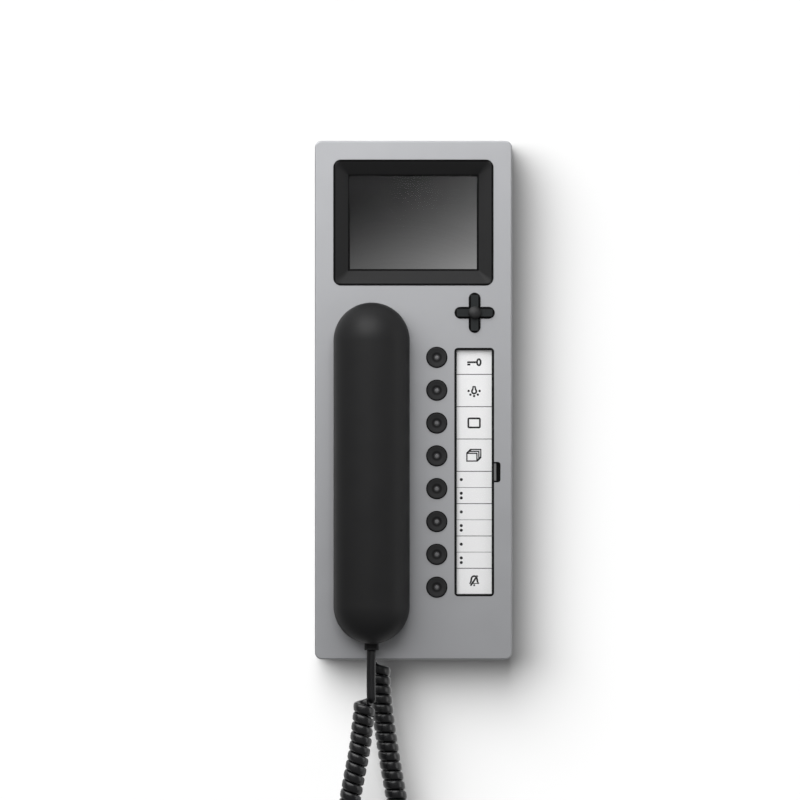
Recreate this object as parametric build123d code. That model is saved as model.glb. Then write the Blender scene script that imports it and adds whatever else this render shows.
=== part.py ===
from build123d import *
import math
import os

# A wall intercom station: shell on a mounting plate, display, keys, and a handset on a curly cord.
# Each piece is drawn lying on its back, as across, up and out from the wall, and stood up at the end.

# Clearances that many pieces share, in millimetres
cut_over = 1.0  # how far a cut runs past the material
snug = 0.03  # between pieces that are pushed together
running_fit = 0.05  # radial, between pieces that slide or turn in each other
rest_gap = 0.1  # between a moving piece and the stop that it rests on
soft_gap = 0.3  # between a moving piece and what it comes to lie on
screw_hole_gap = 0.2  # radial, round a screw that passes through

# Shell
housing_width = 102.0
housing_height = 268.5
face_out = 31.0
face_thickness = 2.2
side_wall = 2.0
corner_radius = 3.5
edge_round = 0.7
rim_gap = 0.5
face_back = face_out - face_thickness
inner_width = housing_width - 2 * side_wall
inner_height = housing_height - 2 * side_wall
inner_corner = corner_radius - side_wall
housing_bottom = -housing_height / 2
housing_top = housing_height / 2
inner_bottom = -inner_height / 2

# Mounting plate
plate_thickness = 3.0
plate_clearance = 0.3
wall_screw_across = 60.0
wall_screw_top_margin = 14.25
wall_screw_bottom_margin = 54.25
wall_slot_length = 10.0
wall_slot_width = 4.4
lug_width = 9.0
lug_depth = 5.0
lug_out = 12.0
lug_across = 20.0
catch_width = 10.0
catch_thickness = 1.6
catch_reach = 1.4
catch_out = 9.0
catch_across = 30.0
wall_screw_rise = housing_height - wall_screw_top_margin - wall_screw_bottom_margin
wall_screw_centre_up = (wall_screw_bottom_margin - wall_screw_top_margin) / 2

# Shell screw from below
shell_screw_out = 7.5
shell_screw_radius = 1.5
shell_screw_length = 7.0
shell_screw_head_radius = 2.6
shell_screw_head_height = 1.7
shell_screw_boss_height = 1.6
shell_screw_boss_radius = 4.2
screw_slot_width = 0.7
screw_slot_depth = 0.6

# Display
bezel_side_margin = 9.7
bezel_top_margin = 9.9
bezel_height_share = 0.24171
bezel_corner = 3.8
bezel_gap = 0.2
bezel_land = 0.9
bezel_proud = 0.3
bezel_flange = 1.6
bezel_flange_thickness = 1.5
slope_width = 7.85
slope_height = 7.9
screen_corner = 0.4
screen_depth = 5.5
glass_margin = 1.5
glass_thickness = 1.0
lcd_margin = 4.5
lcd_thickness = 3.0
lcd_tray_wall = 1.0
lcd_ear_width = 6.0
lcd_ear_drop = 20.0
display_boss_radius = 2.4
display_boss_margin = 4.7
bezel_width = housing_width - 2 * bezel_side_margin
bezel_height = housing_height * bezel_height_share
bezel_up = housing_top - bezel_top_margin - bezel_height / 2
bezel_bottom = bezel_up - bezel_height / 2
screen_width = bezel_width - 2 * slope_width
screen_height = bezel_height - 2 * slope_height
bezel_front = face_out + bezel_proud
screen_out = face_out - screen_depth
lcd_front = screen_out - glass_thickness
lcd_back = lcd_front - lcd_thickness
lcd_tray_back = lcd_back - lcd_tray_wall

# Small screws of the boards and the display
board_screw_radius = 1.1
board_screw_length = 5.0
board_screw_head_radius = 2.1
board_screw_head_height = 1.2

# Label strip with its hinged cover
label_side_margin = 9.35
label_drop = 32.55
label_width_share = 0.19902
label_height_share = 0.47821
label_corner = 1.8
label_gap = 0.15
label_rim = 0.9
label_thickness = 1.8
label_window_thickness = 1.2
label_inner_corner = 1.0
film_thickness = 0.3
tab_width = 1.25
tab_height = 8.9
tab_thickness = 1.1
notch_width = 3.3
notch_height = 10.6
notch_corner = 1.5
card_margin = 0.2
card_thickness = 0.3
tray_thickness = 1.2
tray_margin = 1.3
label_width = housing_width * label_width_share
label_height = housing_height * label_height_share
label_across = housing_width / 2 - label_side_margin - label_width / 2
label_top = bezel_bottom - label_drop
label_up = label_top - label_height / 2
label_bottom_out = face_out - label_thickness
label_left = label_across - label_width / 2
label_right = label_across + label_width / 2

# Cross key
nav_side_step = 0.2
nav_drop = 14.25
nav_opening_span = 20.9
nav_opening_width = 6.2
nav_gap = 0.4
nav_proud = 1.2
nav_floor_gap = 0.57
nav_edge_round = 0.5
nav_tilt = 3.0
nav_pivot_drop = 4.4
nav_collar_radius = 4.2
nav_collar_half = 1.3
nav_bushing_wall = 0.95
nav_bushing_half = 1.1
nav_neck_radius = 3.0
nav_hub_radius = 3.6
nav_foot_radius = 6.6
nav_foot_thickness = 0.7
nav_foot_drop = 7.7
nav_cup_radius = 11.0
nav_cup_wall = 1.0
nav_seat_half = 1.3
nav_dome_radius = 3.3
nav_centre_gap = 0.15
nav_dome_rim = 0.4
nav_dome_height = 1.1
nav_travel = 0.5
nav_stem_radius = 1.6
nav_clip_radius = 2.3
nav_clip_thickness = 0.6
nav_mat_ring = 5.2
nav_mat_radius = 1.4
nav_across = label_across + nav_side_step
nav_up = bezel_bottom - nav_drop
nav_arm_width = nav_opening_width - 2 * nav_gap
nav_arm_span = nav_opening_span - 2 * nav_gap
nav_top = face_out + nav_proud
nav_pivot_out = face_out - nav_pivot_drop
nav_tip_drop = nav_arm_span / 2 * math.sin(math.radians(nav_tilt))
nav_arm_bottom = nav_pivot_out + nav_seat_half + nav_tip_drop + nav_floor_gap
nav_foot_bottom = face_out - nav_foot_drop
nav_foot_top = nav_foot_bottom + nav_foot_thickness
nav_dome_base = nav_top + nav_travel + nav_centre_gap
nav_clip_top = nav_foot_bottom - rest_gap
nav_clip_bottom = nav_clip_top - nav_clip_thickness

# Round keys
key_count = 8
key_side_step = 9.25
key_first_drop = 4.8
key_pitch_share = 0.1324
key_radius = 5.15
key_gap = 0.4
key_proud = 1.0
key_travel = 0.8
key_dish_depth = 0.7
key_dish_radius = 4.5
key_edge_round = 0.35
key_flange_radius = 6.3
key_flange_thickness = 0.8
key_stem_radius = 2.6
lens_radius = 0.9
lens_proud = 0.25
key_across = label_left - key_side_step
key_first_up = label_top - key_first_drop
key_pitch = label_height * key_pitch_share
key_top = face_out + key_proud
key_flange_top = face_back - rest_gap
key_flange_bottom = key_flange_top - key_flange_thickness

# Handset
handset_side_margin = 9.725
handset_bottom_margin = 8.25
handset_width_share = 0.38578
handset_length_share = 0.65698
handset_front_out = 58.0
seam_out = 43.0
grip_back_out = 40.0
foot_lift = 0.6
handset_wall = 2.0
finger_gap_round = 8.0
end_block_margin = 19.0
handset_width = housing_width * handset_width_share
handset_length = housing_height * handset_length_share
handset_across = -housing_width / 2 + handset_side_margin + handset_width / 2
handset_centre_up = housing_bottom + handset_bottom_margin + handset_length / 2
handset_radius = handset_width / 2
ear_up = handset_centre_up + handset_length / 2 - handset_radius
mouth_up = handset_centre_up - handset_length / 2 + handset_radius
foot_out = face_out + foot_lift
dome_height = handset_front_out - seam_out

# Wells of the shell and discs of the handset
well_side_gap = 0.5
well_depth = 6.0
well_wall = 1.8
disc_inset = 2.175
sound_hole_radius = 0.9
sound_ring_radius = 4.2
sound_hole_count = 6
disc_radius = handset_radius - disc_inset
well_radius = disc_radius + well_side_gap
well_floor = face_out - well_depth
well_back = well_floor - well_wall
disc_out = well_floor + soft_gap
disc_inside = disc_out + handset_wall

# Key board and rubber mat
board_thickness = 1.6
key_board_drop = 7.8
key_board_left_gap = 1.4
key_board_right_gap = 2.8
key_board_rise = 11.3
key_board_fall = 11.5
key_boss_radius = 2.4
mat_thickness = 1.0
mat_left_gap = 5.6
mat_right_gap = 4.3
mat_margin = 0.5
mat_bottom_margin = 8.0
low_boss_margin = 1.5
dome_base_radius = 4.6
dome_top_radius = 2.8
dome_wall = 0.7
dome_pressed_height = 2.1
led_width = 2.0
led_height = 1.2
led_thickness = 0.6
key_board_left = handset_across + well_radius + well_wall + key_board_left_gap
key_board_right = housing_width / 2 - key_board_right_gap
key_board_top = nav_up + key_board_rise
key_board_bottom = label_top - label_height - key_board_fall
mat_left = key_board_left + mat_left_gap
mat_right = key_board_right - mat_right_gap
key_board_front = face_back - key_board_drop
key_board_back = key_board_front - board_thickness
mat_front = key_board_front + mat_thickness
key_stem_end = mat_front + dome_pressed_height + rest_gap + key_travel

# Inside the handset
receiver_inset = 7.5
receiver_thickness = 5.7
receiver_down = 3.0
foam_width = 3.0
foam_thickness = 1.0
microphone_radius = 4.8
microphone_thickness = 4.5
boot_wall = 1.4
boot_floor = 0.7
boot_height = 5.0
magnet_radius = 3.5
magnet_thickness = 3.0
magnet_inset = 6.0
strike_radius = 6.0
strike_thickness = 1.2
handset_screw_inset = 29.0
handset_screw_radius = 1.45
handset_screw_head_radius = 2.8
handset_screw_head_height = 1.4
handset_screw_length = 11.0
handset_boss_radius = 3.2
receiver_radius = disc_radius - receiver_inset
magnet_rise = disc_radius - magnet_inset

# Gland and straight lead of the cord
gland_width = 7.4
gland_depth = 6.0
gland_corner = 1.2
gland_proud = 3.25
gland_out = 38.0
gland_flange = 1.0
gland_flange_thickness = 1.5
gland_slot_width = 4.9
gland_slot_height = 1.6
gland_slot_depth = 1.0
gland_slot_rise = 0.8
gland_end_up = handset_centre_up - handset_length / 2 - gland_proud
gland_inner_radius = handset_radius - handset_wall
gland_flange_half = gland_width / 2 + gland_flange
gland_sag = gland_inner_radius - math.sqrt(gland_inner_radius**2 - gland_flange_half**2)
gland_inside_up = gland_end_up + gland_proud + handset_wall + gland_sag

# Curly cord
cord_diameter = 4.3
curl_outer_diameter = 11.0
curl_pitch = 4.95
curl_lead_in = 5.0
curl_steps = 16
curl_radius = (curl_outer_diameter - cord_diameter) / 2

# Socket and plug at the underside
jack_out = 15.0
jack_width = 13.0
jack_length = 14.0
jack_depth = 12.6
plug_width = 7.65
plug_depth = 6.6
plug_length = 12.5
plug_inset = 1.65
plug_gap = 0.1
plug_latch_width = 3.0
plug_latch_thickness = 0.8
plug_latch_length = 9.0
jack_hole_margin = 1.0
jack_top_gap = 0.2
jack_across = handset_across
plug_end_up = housing_bottom + plug_inset

# Main board
main_board_margin = 5.0
main_board_top_margin = 28.25
main_board_height_share = 0.41713
post_height = 5.0
post_radius = 3.0
post_inset = 5.0
terminal_count = 6
terminal_pitch = 5.5
terminal_depth = 10.0
terminal_height = 8.0
terminal_across = 5.0
terminal_inset = 8.0
terminal_screw_radius = 2.0
terminal_screw_height = 2.2
terminal_wire_radius = 1.5
capacitor_radius = 4.0
capacitor_height = 8.0
capacitor_pitch = 10.5
capacitor_inset = 10.0
capacitor_drop = 26.0
capacitor_count = 3
chip_lift = 1.5
connector_width = 14.0
connector_length = 5.0
connector_height = 2.4
connector_inset = 18.0
connector_drop = 22.0
connector_rise = 8.0
cable_width = 10.0
cable_thickness = 0.3
cable_bend = 0.8
cable_straight = 1.4
main_board_width = inner_width - 2 * main_board_margin
main_board_height = housing_height * main_board_height_share
main_board_up = housing_top - main_board_top_margin - main_board_height / 2
capacitor_across = -main_board_width / 2 + capacitor_inset
capacitor_up = main_board_up - capacitor_drop
connector_across = main_board_width / 2 - connector_inset
connector_up = main_board_up - connector_drop
main_board_back = plate_thickness + post_height
main_board_front = main_board_back + board_thickness
# Each chip: its centre as shares of half the board's width and height, and its side as a share of the width
chip_shares = [(-0.45, 0.35, 0.16), (0.3, 0.15, 0.11), (0.15, 0.7, 0.09)]

# Cable hole of the plate, under the main board
cable_hole_width = 44.0
cable_hole_height = 34.0
cable_hole_corner = 3.0
cable_hole_drop = 25.0
cable_hole_up = main_board_up - main_board_height / 2 - cable_hole_drop - cable_hole_height / 2

# Ringer behind the face
speaker_radius = 16.0
speaker_rim = 5.8
speaker_magnet_radius = 9.0
speaker_magnet_height = 4.5
speaker_cone_radius = 12.5
speaker_cone_depth = 2.0
gasket_width = 3.0
gasket_thickness = 1.0
speaker_wall = 1.2
slot_count = 7
slot_width = 1.6
slot_pitch = 3.4
slot_field_radius = 12.0
speaker_up = handset_centre_up
speaker_front = face_back - gasket_thickness
speaker_back = speaker_front - speaker_rim

# Cradle switch
hook_rise = 9.0
hook_travel = 4.0
plunger_radius = 2.5
plunger_flange_radius = 4.0
plunger_flange_thickness = 0.8
plunger_flange_drop = 9.8
guide_radius = 4.4
guide_end_gap = 0.4
hook_switch_width = 20.0
hook_switch_height = 9.0
hook_switch_depth = 6.5
hook_pin_radius = 1.0
hook_pin_height = 2.5
spring_wire = 0.5
spring_radius = 3.05
spring_curls = 4
hook_up = mouth_up + hook_rise
hook_switch_top = plate_thickness + hook_switch_depth
plunger_tip = well_floor
plunger_end = hook_switch_top + hook_pin_height + rest_gap * 2
plunger_flange_top = plunger_tip - plunger_flange_drop
plunger_flange_bottom = plunger_flange_top - plunger_flange_thickness
guide_end = plunger_flange_top + hook_travel + guide_end_gap

# Middle line of the curls, from the lead round the hanging bow and up to the plug: across from the
# handset's middle line, up from the housing's bottom, and out. These are the corners of a smooth line.
cord_steps = [
    (-3.50, -19.35, 38.0),
    (-3.50, -25.75, 38.0),
    (-4.80, -33.75, 38.0),
    (-6.00, -45.75, 37.8),
    (-9.00, -60.25, 37.2),
    (-11.70, -75.25, 36.3),
    (-14.00, -93.75, 35.0),
    (-15.80, -113.75, 33.8),
    (-17.00, -132.25, 32.4),
    (-17.80, -148.25, 31.0),
    (-18.00, -163.55, 29.5),
    (-12.60, -176.55, 27.5),
    (0.40, -181.95, 25.5),
    (13.40, -176.55, 23.5),
    (18.80, -163.55, 21.5),
    (18.80, -148.25, 20.0),
    (18.40, -132.25, 18.8),
    (17.40, -113.75, 17.8),
    (15.60, -93.75, 17.0),
    (13.00, -75.25, 16.3),
    (10.20, -60.25, 15.8),
    (7.60, -45.75, 15.4),
    (5.40, -30.75, 15.2),
    (4.00, -17.75, 15.0),
    (3.35, -9.75, 15.0),
    (3.35, -2.65, 15.0),
]
cord_route = [
    (handset_across + across, housing_bottom + up, out)
    for across, up, out in cord_steps
]


def slab(width, height, low, high, across=0, up=0, corner=0):
    """A block that stands on the wall from depth low to high, with rounded upright corners."""
    outline = RectangleRounded(width, height, corner) if corner else Rectangle(width, height)
    return Pos(across, up, low) * extrude(outline, high - low)


def span(left, right, bottom, top, low, high, corner=0):
    """The same block, given by its sides."""
    return slab(right - left, top - bottom, low, high, (left + right) / 2, (bottom + top) / 2, corner)


def disc(radius, low, high, across=0, up=0):
    """A round block from depth low to high."""
    return Pos(across, up, low) * extrude(Circle(radius), high - low)


def ring(outer, inner, low, high, across=0, up=0):
    """A round wall with an open middle."""
    return disc(outer, low, high, across, up) - disc(inner, low - cut_over, high + cut_over, across, up)


def upright_rod(radius, bottom, top, across, out):
    """A round rod that runs up the wall."""
    return Pos(across, bottom, out) * Rot(-90, 0, 0) * extrude(Circle(radius), top - bottom)


def stadium(radius, low, high):
    """The handset's outline as a block: two half circles joined by straight sides."""
    outline = Pos(0, ear_up) * Circle(radius) + Pos(0, mouth_up) * Circle(radius)
    outline += Pos(0, (ear_up + mouth_up) / 2) * Rectangle(2 * radius, ear_up - mouth_up)
    return Pos(handset_across, 0, low) * extrude(outline, high - low)


def key_ups():
    return [key_first_up - key_pitch * index for index in range(key_count)]


def key_boss_places():
    """Centres of the bosses that carry the key board, in its margins beside the keys and the label."""
    left = key_board_left + key_boss_radius + mat_margin
    right = key_board_right - key_boss_radius + mat_margin
    bottom = key_board_bottom + key_boss_radius + low_boss_margin
    middle = (key_ups()[2] + key_ups()[3]) / 2
    return [(left, nav_up), (left, middle), (left, bottom), (right, nav_up), (label_across, bottom)]


def display_boss_places():
    across = bezel_width / 2 + display_boss_margin
    return [(side * across, bezel_up + rise * lcd_ear_drop) for side in (-1, 1) for rise in (-1, 1)]


def post_places():
    across = main_board_width / 2 - post_inset
    rise = main_board_height / 2 - post_inset
    return [(side * across, main_board_up + step * rise) for side in (-1, 1) for step in (-1, 1)]


def handset_screw_ups():
    return [ear_up - handset_screw_inset, mouth_up + handset_screw_inset]


# Back plate, with its wall screw slots, cable hole, board posts, catches and screw lug
def mounting_plate():
    width = inner_width - 2 * plate_clearance
    height = inner_height - 2 * plate_clearance
    plate = slab(width, height, 0, plate_thickness, corner=inner_corner - plate_clearance)
    for across, up in post_places():
        plate += disc(post_radius, plate_thickness, main_board_back, across, up)
        plate -= disc(board_screw_radius + snug, plate_thickness / 2, main_board_back + cut_over, across, up)
    plate += slab(
        jack_width,
        jack_length,
        plate_thickness,
        jack_out - jack_depth / 2,
        jack_across,
        inner_bottom + plate_clearance + jack_length / 2,
    )
    lug_bottom = inner_bottom + shell_screw_boss_height + plate_clearance
    plate += span(
        lug_across - lug_width / 2,
        lug_across + lug_width / 2,
        lug_bottom,
        lug_bottom + lug_depth,
        plate_thickness,
        lug_out,
    )
    plate -= upright_rod(
        shell_screw_radius + snug,
        lug_bottom - cut_over,
        lug_bottom + lug_depth + cut_over,
        lug_across,
        shell_screw_out,
    )
    for side in (-1, 1):
        top = height / 2
        foot_up = top - catch_thickness * 2
        across = side * catch_across
        plate += slab(catch_width, catch_thickness, plate_thickness, catch_out, across, foot_up)
        plate += slab(
            catch_width,
            catch_reach,
            catch_out - catch_thickness,
            catch_out,
            across,
            foot_up + catch_thickness / 2 + catch_reach / 2,
        )
    plate -= slab(
        cable_hole_width,
        cable_hole_height,
        -cut_over,
        plate_thickness + cut_over,
        0,
        cable_hole_up,
        cable_hole_corner,
    )
    for side in (-1, 1):
        for step in (-1, 1):
            slot = extrude(SlotOverall(wall_slot_length, wall_slot_width), plate_thickness + 2 * cut_over)
            up = wall_screw_centre_up + step * wall_screw_rise / 2
            plate -= Pos(side * wall_screw_across / 2, up, -cut_over) * slot
    return plate


# Openings in the face of the shell
def face_openings():
    low = face_back - cut_over
    high = face_out + cut_over
    cuts = [
        slab(
            bezel_width + 2 * bezel_gap,
            bezel_height + 2 * bezel_gap,
            low,
            high,
            0,
            bezel_up,
            bezel_corner + bezel_gap,
        ),
        slab(
            label_width + 2 * label_gap,
            label_height + 2 * label_gap,
            low,
            high,
            label_across,
            label_up,
            label_corner + label_gap,
        ),
        span(
            label_right - notch_corner,
            label_right + label_gap + notch_width,
            label_up - notch_height / 2,
            label_up + notch_height / 2,
            low,
            high,
            notch_corner,
        ),
    ]
    cuts += [disc(key_radius + key_gap, low, high, key_across, up) for up in key_ups()]
    cross = SlotOverall(nav_opening_span, nav_opening_width)
    cross += SlotOverall(nav_opening_span, nav_opening_width, rotation=90)
    cuts.append(Pos(nav_across, nav_up, low) * extrude(cross, high - low))
    for index in range(slot_count):
        offset = (index - (slot_count - 1) / 2) * slot_pitch
        length = 2 * math.sqrt(slot_field_radius**2 - offset**2)
        slot = extrude(SlotOverall(length, slot_width, rotation=90), high - low)
        cuts.append(Pos(handset_across + offset, speaker_up, low) * slot)
    return cuts


# Cup behind the cross key, whose floor holds the ball-shaped bushing
def nav_seat():
    low = nav_pivot_out - nav_seat_half
    cup = disc(nav_cup_radius + nav_cup_wall, low, face_back, nav_across, nav_up)
    cup -= disc(nav_cup_radius, nav_pivot_out + nav_seat_half, face_back + cut_over, nav_across, nav_up)
    cup -= Pos(nav_across, nav_up, nav_pivot_out) * Sphere(nav_seat_radius())
    return cup


def nav_seat_radius():
    return nav_collar_radius + nav_bushing_wall + 2 * running_fit


# Grey shell: box, wells, bosses, cups and all its openings
def front_shell():
    shell = slab(housing_width, housing_height, rim_gap, face_out, corner=corner_radius)
    shell = fillet(shell.faces().sort_by(Axis.Z)[-1].edges(), edge_round)
    shell -= slab(inner_width, inner_height, rim_gap - cut_over, face_back, corner=inner_corner)
    for up in (ear_up, mouth_up):
        shell += disc(well_radius + well_wall, well_back, face_back, handset_across, up)
        shell -= disc(well_radius, well_floor, face_out + cut_over, handset_across, up)
    shell += disc(guide_radius, guide_end, well_back, handset_across, hook_up)
    shell -= disc(plunger_radius + running_fit, guide_end - cut_over, face_out, handset_across, hook_up)
    speaker_hole = speaker_radius + snug
    outside = speaker_hole + speaker_wall
    shell += ring(outside, speaker_hole, speaker_back, face_back, handset_across, speaker_up)
    for across, up in display_boss_places():
        shell += disc(display_boss_radius, lcd_back, face_back, across, up)
        shell -= disc(board_screw_radius + snug, lcd_back - cut_over, face_back - cut_over, across, up)
    for across, up in key_boss_places():
        shell += disc(key_boss_radius, key_board_front, face_back, across, up)
        shell -= disc(board_screw_radius + snug, key_board_front - cut_over, face_back - cut_over, across, up)
    for cut in face_openings():
        shell -= cut
    shell += nav_seat()
    top = inner_height / 2
    for side in (-1, 1):
        shell += span(
            side * catch_across - catch_width / 2,
            side * catch_across + catch_width / 2,
            top - plate_clearance - catch_thickness,
            top + cut_over,
            catch_out - catch_thickness * 2 - plate_clearance,
            catch_out - catch_thickness - plate_clearance,
        )
    low = housing_bottom - cut_over
    boss_top = inner_bottom + shell_screw_boss_height
    shell += upright_rod(shell_screw_boss_radius, inner_bottom, boss_top, lug_across, shell_screw_out)
    hole_radius = shell_screw_radius + screw_hole_gap
    shell -= upright_rod(hole_radius, low, boss_top + cut_over, lug_across, shell_screw_out)
    sink_radius = shell_screw_head_radius + screw_hole_gap
    shell -= upright_rod(sink_radius, low, housing_bottom + side_wall, lug_across, shell_screw_out)
    shell -= span(
        jack_across - plug_width / 2 - jack_hole_margin,
        jack_across + plug_width / 2 + jack_hole_margin,
        housing_bottom - cut_over,
        inner_bottom + cut_over,
        jack_out - plug_depth / 2 - jack_hole_margin,
        jack_out + plug_depth / 2 + jack_hole_margin,
    )
    return shell


def shell_screw():
    head_bottom = housing_bottom + side_wall - shell_screw_head_height
    head_top = housing_bottom + side_wall
    out = shell_screw_out
    screw = upright_rod(shell_screw_head_radius, head_bottom, head_top, lug_across, out)
    screw += upright_rod(shell_screw_radius, head_top, head_top + shell_screw_length, lug_across, out)
    half = screw_slot_width / 2
    screw -= span(
        lug_across - shell_screw_head_radius,
        lug_across + shell_screw_head_radius,
        head_bottom - cut_over,
        head_bottom + screw_slot_depth,
        out - half,
        out + half,
    )
    return screw


# Display: sloped frame, glass, panel in its tray, and screws
def display_bezel():
    bezel = slab(bezel_width, bezel_height, lcd_front, bezel_front, 0, bezel_up, bezel_corner)
    bezel += slab(
        bezel_width + 2 * bezel_flange,
        bezel_height + 2 * bezel_flange,
        face_back - bezel_flange_thickness,
        face_back,
        0,
        bezel_up,
        bezel_corner + bezel_flange,
    )
    low = RectangleRounded(screen_width, screen_height, screen_corner)
    high = RectangleRounded(
        bezel_width - 2 * bezel_land, bezel_height - 2 * bezel_land, bezel_corner - bezel_land
    )
    slope = loft([Pos(0, bezel_up, screen_out) * low, Pos(0, bezel_up, bezel_front) * high], ruled=True)
    bezel -= slope
    bezel -= slab(
        screen_width + 2 * glass_margin,
        screen_height + 2 * glass_margin,
        lcd_front - cut_over,
        screen_out,
        0,
        bezel_up,
    )
    return bezel


def display_window():
    margin = 2 * (glass_margin - snug)
    return slab(screen_width + margin, screen_height + margin, lcd_front, screen_out, 0, bezel_up)


def lcd_size():
    return screen_width + 2 * lcd_margin, screen_height + 2 * lcd_margin


def lcd_panel():
    width, height = lcd_size()
    return slab(width, height, lcd_back, lcd_front, 0, bezel_up)


def lcd_frame():
    width, height = lcd_size()
    border = 2 * (snug + lcd_tray_wall)
    tray = slab(width + border, height + border, lcd_tray_back, lcd_front, 0, bezel_up)
    tray -= slab(width + 2 * snug, height + 2 * snug, lcd_back, lcd_front + cut_over, 0, bezel_up)
    for across, up in display_boss_places():
        side = math.copysign(1, across)
        edge = side * (width / 2)
        tip = across + side * display_boss_radius
        half = lcd_ear_width / 2
        tray += span(min(edge, tip), max(edge, tip), up - half, up + half, lcd_tray_back, lcd_back)
        hole = board_screw_radius + screw_hole_gap
        tray -= disc(hole, lcd_tray_back - cut_over, lcd_back + cut_over, across, up)
    return tray


def board_screw(seat, across, up):
    """A small screw that is driven outward, with its head against the piece that it holds."""
    screw = disc(board_screw_head_radius, seat - board_screw_head_height, seat, across, up)
    screw += disc(board_screw_radius, seat, seat + board_screw_length, across, up)
    half = screw_slot_width / 2
    bottom = seat - board_screw_head_height
    screw -= span(
        across - board_screw_head_radius,
        across + board_screw_head_radius,
        up - half,
        up + half,
        bottom - cut_over,
        bottom + screw_slot_depth,
    )
    return screw


def display_screws():
    return [board_screw(lcd_tray_back, across, up) for across, up in display_boss_places()]


# Main board with its parts
def main_pcb():
    board = slab(main_board_width, main_board_height, main_board_back, main_board_front, 0, main_board_up)
    for across, up in post_places():
        hole = board_screw_radius + screw_hole_gap
        board -= disc(hole, main_board_back - cut_over, main_board_front + cut_over, across, up)
    return board


def chips():
    """Chips of the main board, and the two connectors of the flat cable."""
    pieces = []
    for across_share, up_share, side_share in chip_shares:
        side = main_board_width * side_share
        across = main_board_width / 2 * across_share
        up = main_board_up + main_board_height / 2 * up_share
        pieces.append(slab(side, side, main_board_front, main_board_front + chip_lift, across, up))
    pieces.append(
        slab(
            connector_width,
            connector_length,
            main_board_front,
            main_board_front + connector_height,
            connector_across,
            connector_up,
        )
    )
    pieces.append(
        slab(
            connector_width,
            connector_length,
            key_board_back - connector_height,
            key_board_back,
            connector_across,
            connector_up + connector_rise,
        )
    )
    return pieces


def capacitors():
    high = main_board_front + capacitor_height
    places = [capacitor_across + capacitor_pitch * index for index in range(capacitor_count)]
    return [disc(capacitor_radius, main_board_front, high, across, capacitor_up) for across in places]


def terminal_up():
    return main_board_up - main_board_height / 2 + terminal_inset


def terminal_places():
    middle = (terminal_count - 1) / 2
    return [terminal_across + (index - middle) * terminal_pitch for index in range(terminal_count)]


def terminal_block():
    high = main_board_front + terminal_height
    width = terminal_count * terminal_pitch
    block = slab(width, terminal_depth, main_board_front, high, terminal_across, terminal_up())
    for across in terminal_places():
        block -= disc(
            terminal_screw_radius + screw_hole_gap,
            high - terminal_screw_height,
            high + cut_over,
            across,
            terminal_up(),
        )
        block -= upright_rod(
            terminal_wire_radius,
            terminal_up() - terminal_depth,
            terminal_up(),
            across,
            main_board_front + terminal_wire_radius * 2,
        )
    return block


def terminal_screws():
    high = main_board_front + terminal_height
    pieces = []
    for across in terminal_places():
        low = high - terminal_screw_height
        screw = disc(terminal_screw_radius, low, high - rest_gap, across, terminal_up())
        half = screw_slot_width / 2
        screw -= span(
            across - terminal_screw_radius,
            across + terminal_screw_radius,
            terminal_up() - half,
            terminal_up() + half,
            high - screw_slot_depth,
            high + cut_over,
        )
        pieces.append(screw)
    return pieces


def board_screws():
    """The screws of the main board go toward the wall, those of the key board away from it."""
    pieces = []
    for across, up in post_places():
        turned = Pos(across, up, main_board_front) * Rot(180, 0, 0) * board_screw(0, 0, 0)
        pieces.append(turned)
    pieces += [board_screw(key_board_back, across, up) for across, up in key_boss_places()]
    return pieces


def flat_cable():
    low = main_board_front + connector_height
    high = key_board_back - connector_height
    path = FilletPolyline(
        (connector_up, low),
        (connector_up, low + cable_straight),
        (connector_up + connector_rise, high - cable_straight),
        (connector_up + connector_rise, high),
        radius=cable_bend,
    )
    strip = extrude(Plane.YZ * trace(path, cable_thickness), cable_width)
    return Pos(connector_across - cable_width / 2, 0, 0) * strip


# Key board, its lamps and the rubber mat
def key_pcb():
    board = span(
        key_board_left, key_board_right, key_board_bottom, key_board_top, key_board_back, key_board_front
    )
    for across, up in key_boss_places():
        hole = board_screw_radius + screw_hole_gap
        board -= disc(hole, key_board_back - cut_over, key_board_front + cut_over, across, up)
    return board


def key_leds():
    high = key_board_front + led_thickness
    return [slab(led_width, led_height, key_board_front, high, key_across, up) for up in key_ups()]


def mat_dome(top, base_radius, top_radius, across, up):
    """A hollow rubber dome: its outside and the hollow under it."""
    height = top - mat_front
    outside = Pos(across, up, mat_front + height / 2) * Cone(base_radius, top_radius, height)
    hollow_height = top - dome_wall - key_board_front
    hollow = Pos(across, up, key_board_front + hollow_height / 2) * Cone(
        base_radius - dome_wall, top_radius - dome_wall, hollow_height
    )
    return outside, hollow


def key_mat():
    bottom = key_ups()[-1] - mat_bottom_margin
    mat = span(mat_left, mat_right, bottom, key_board_top - mat_margin, key_board_front, mat_front)
    top = key_stem_end - rest_gap
    domes = [mat_dome(top, dome_base_radius, dome_top_radius, key_across, up) for up in key_ups()]
    for outside, hollow in domes:
        mat = mat + outside - hollow
    for side, rise in ((-1, 0), (1, 0), (0, -1), (0, 1)):
        across = nav_across + side * nav_mat_ring
        up = nav_up + rise * nav_mat_ring
        mat += disc(nav_mat_radius, mat_front, nav_foot_bottom - rest_gap, across, up)
    mat += disc(nav_mat_radius, mat_front, nav_clip_bottom - rest_gap, nav_across, nav_up)
    return mat


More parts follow.
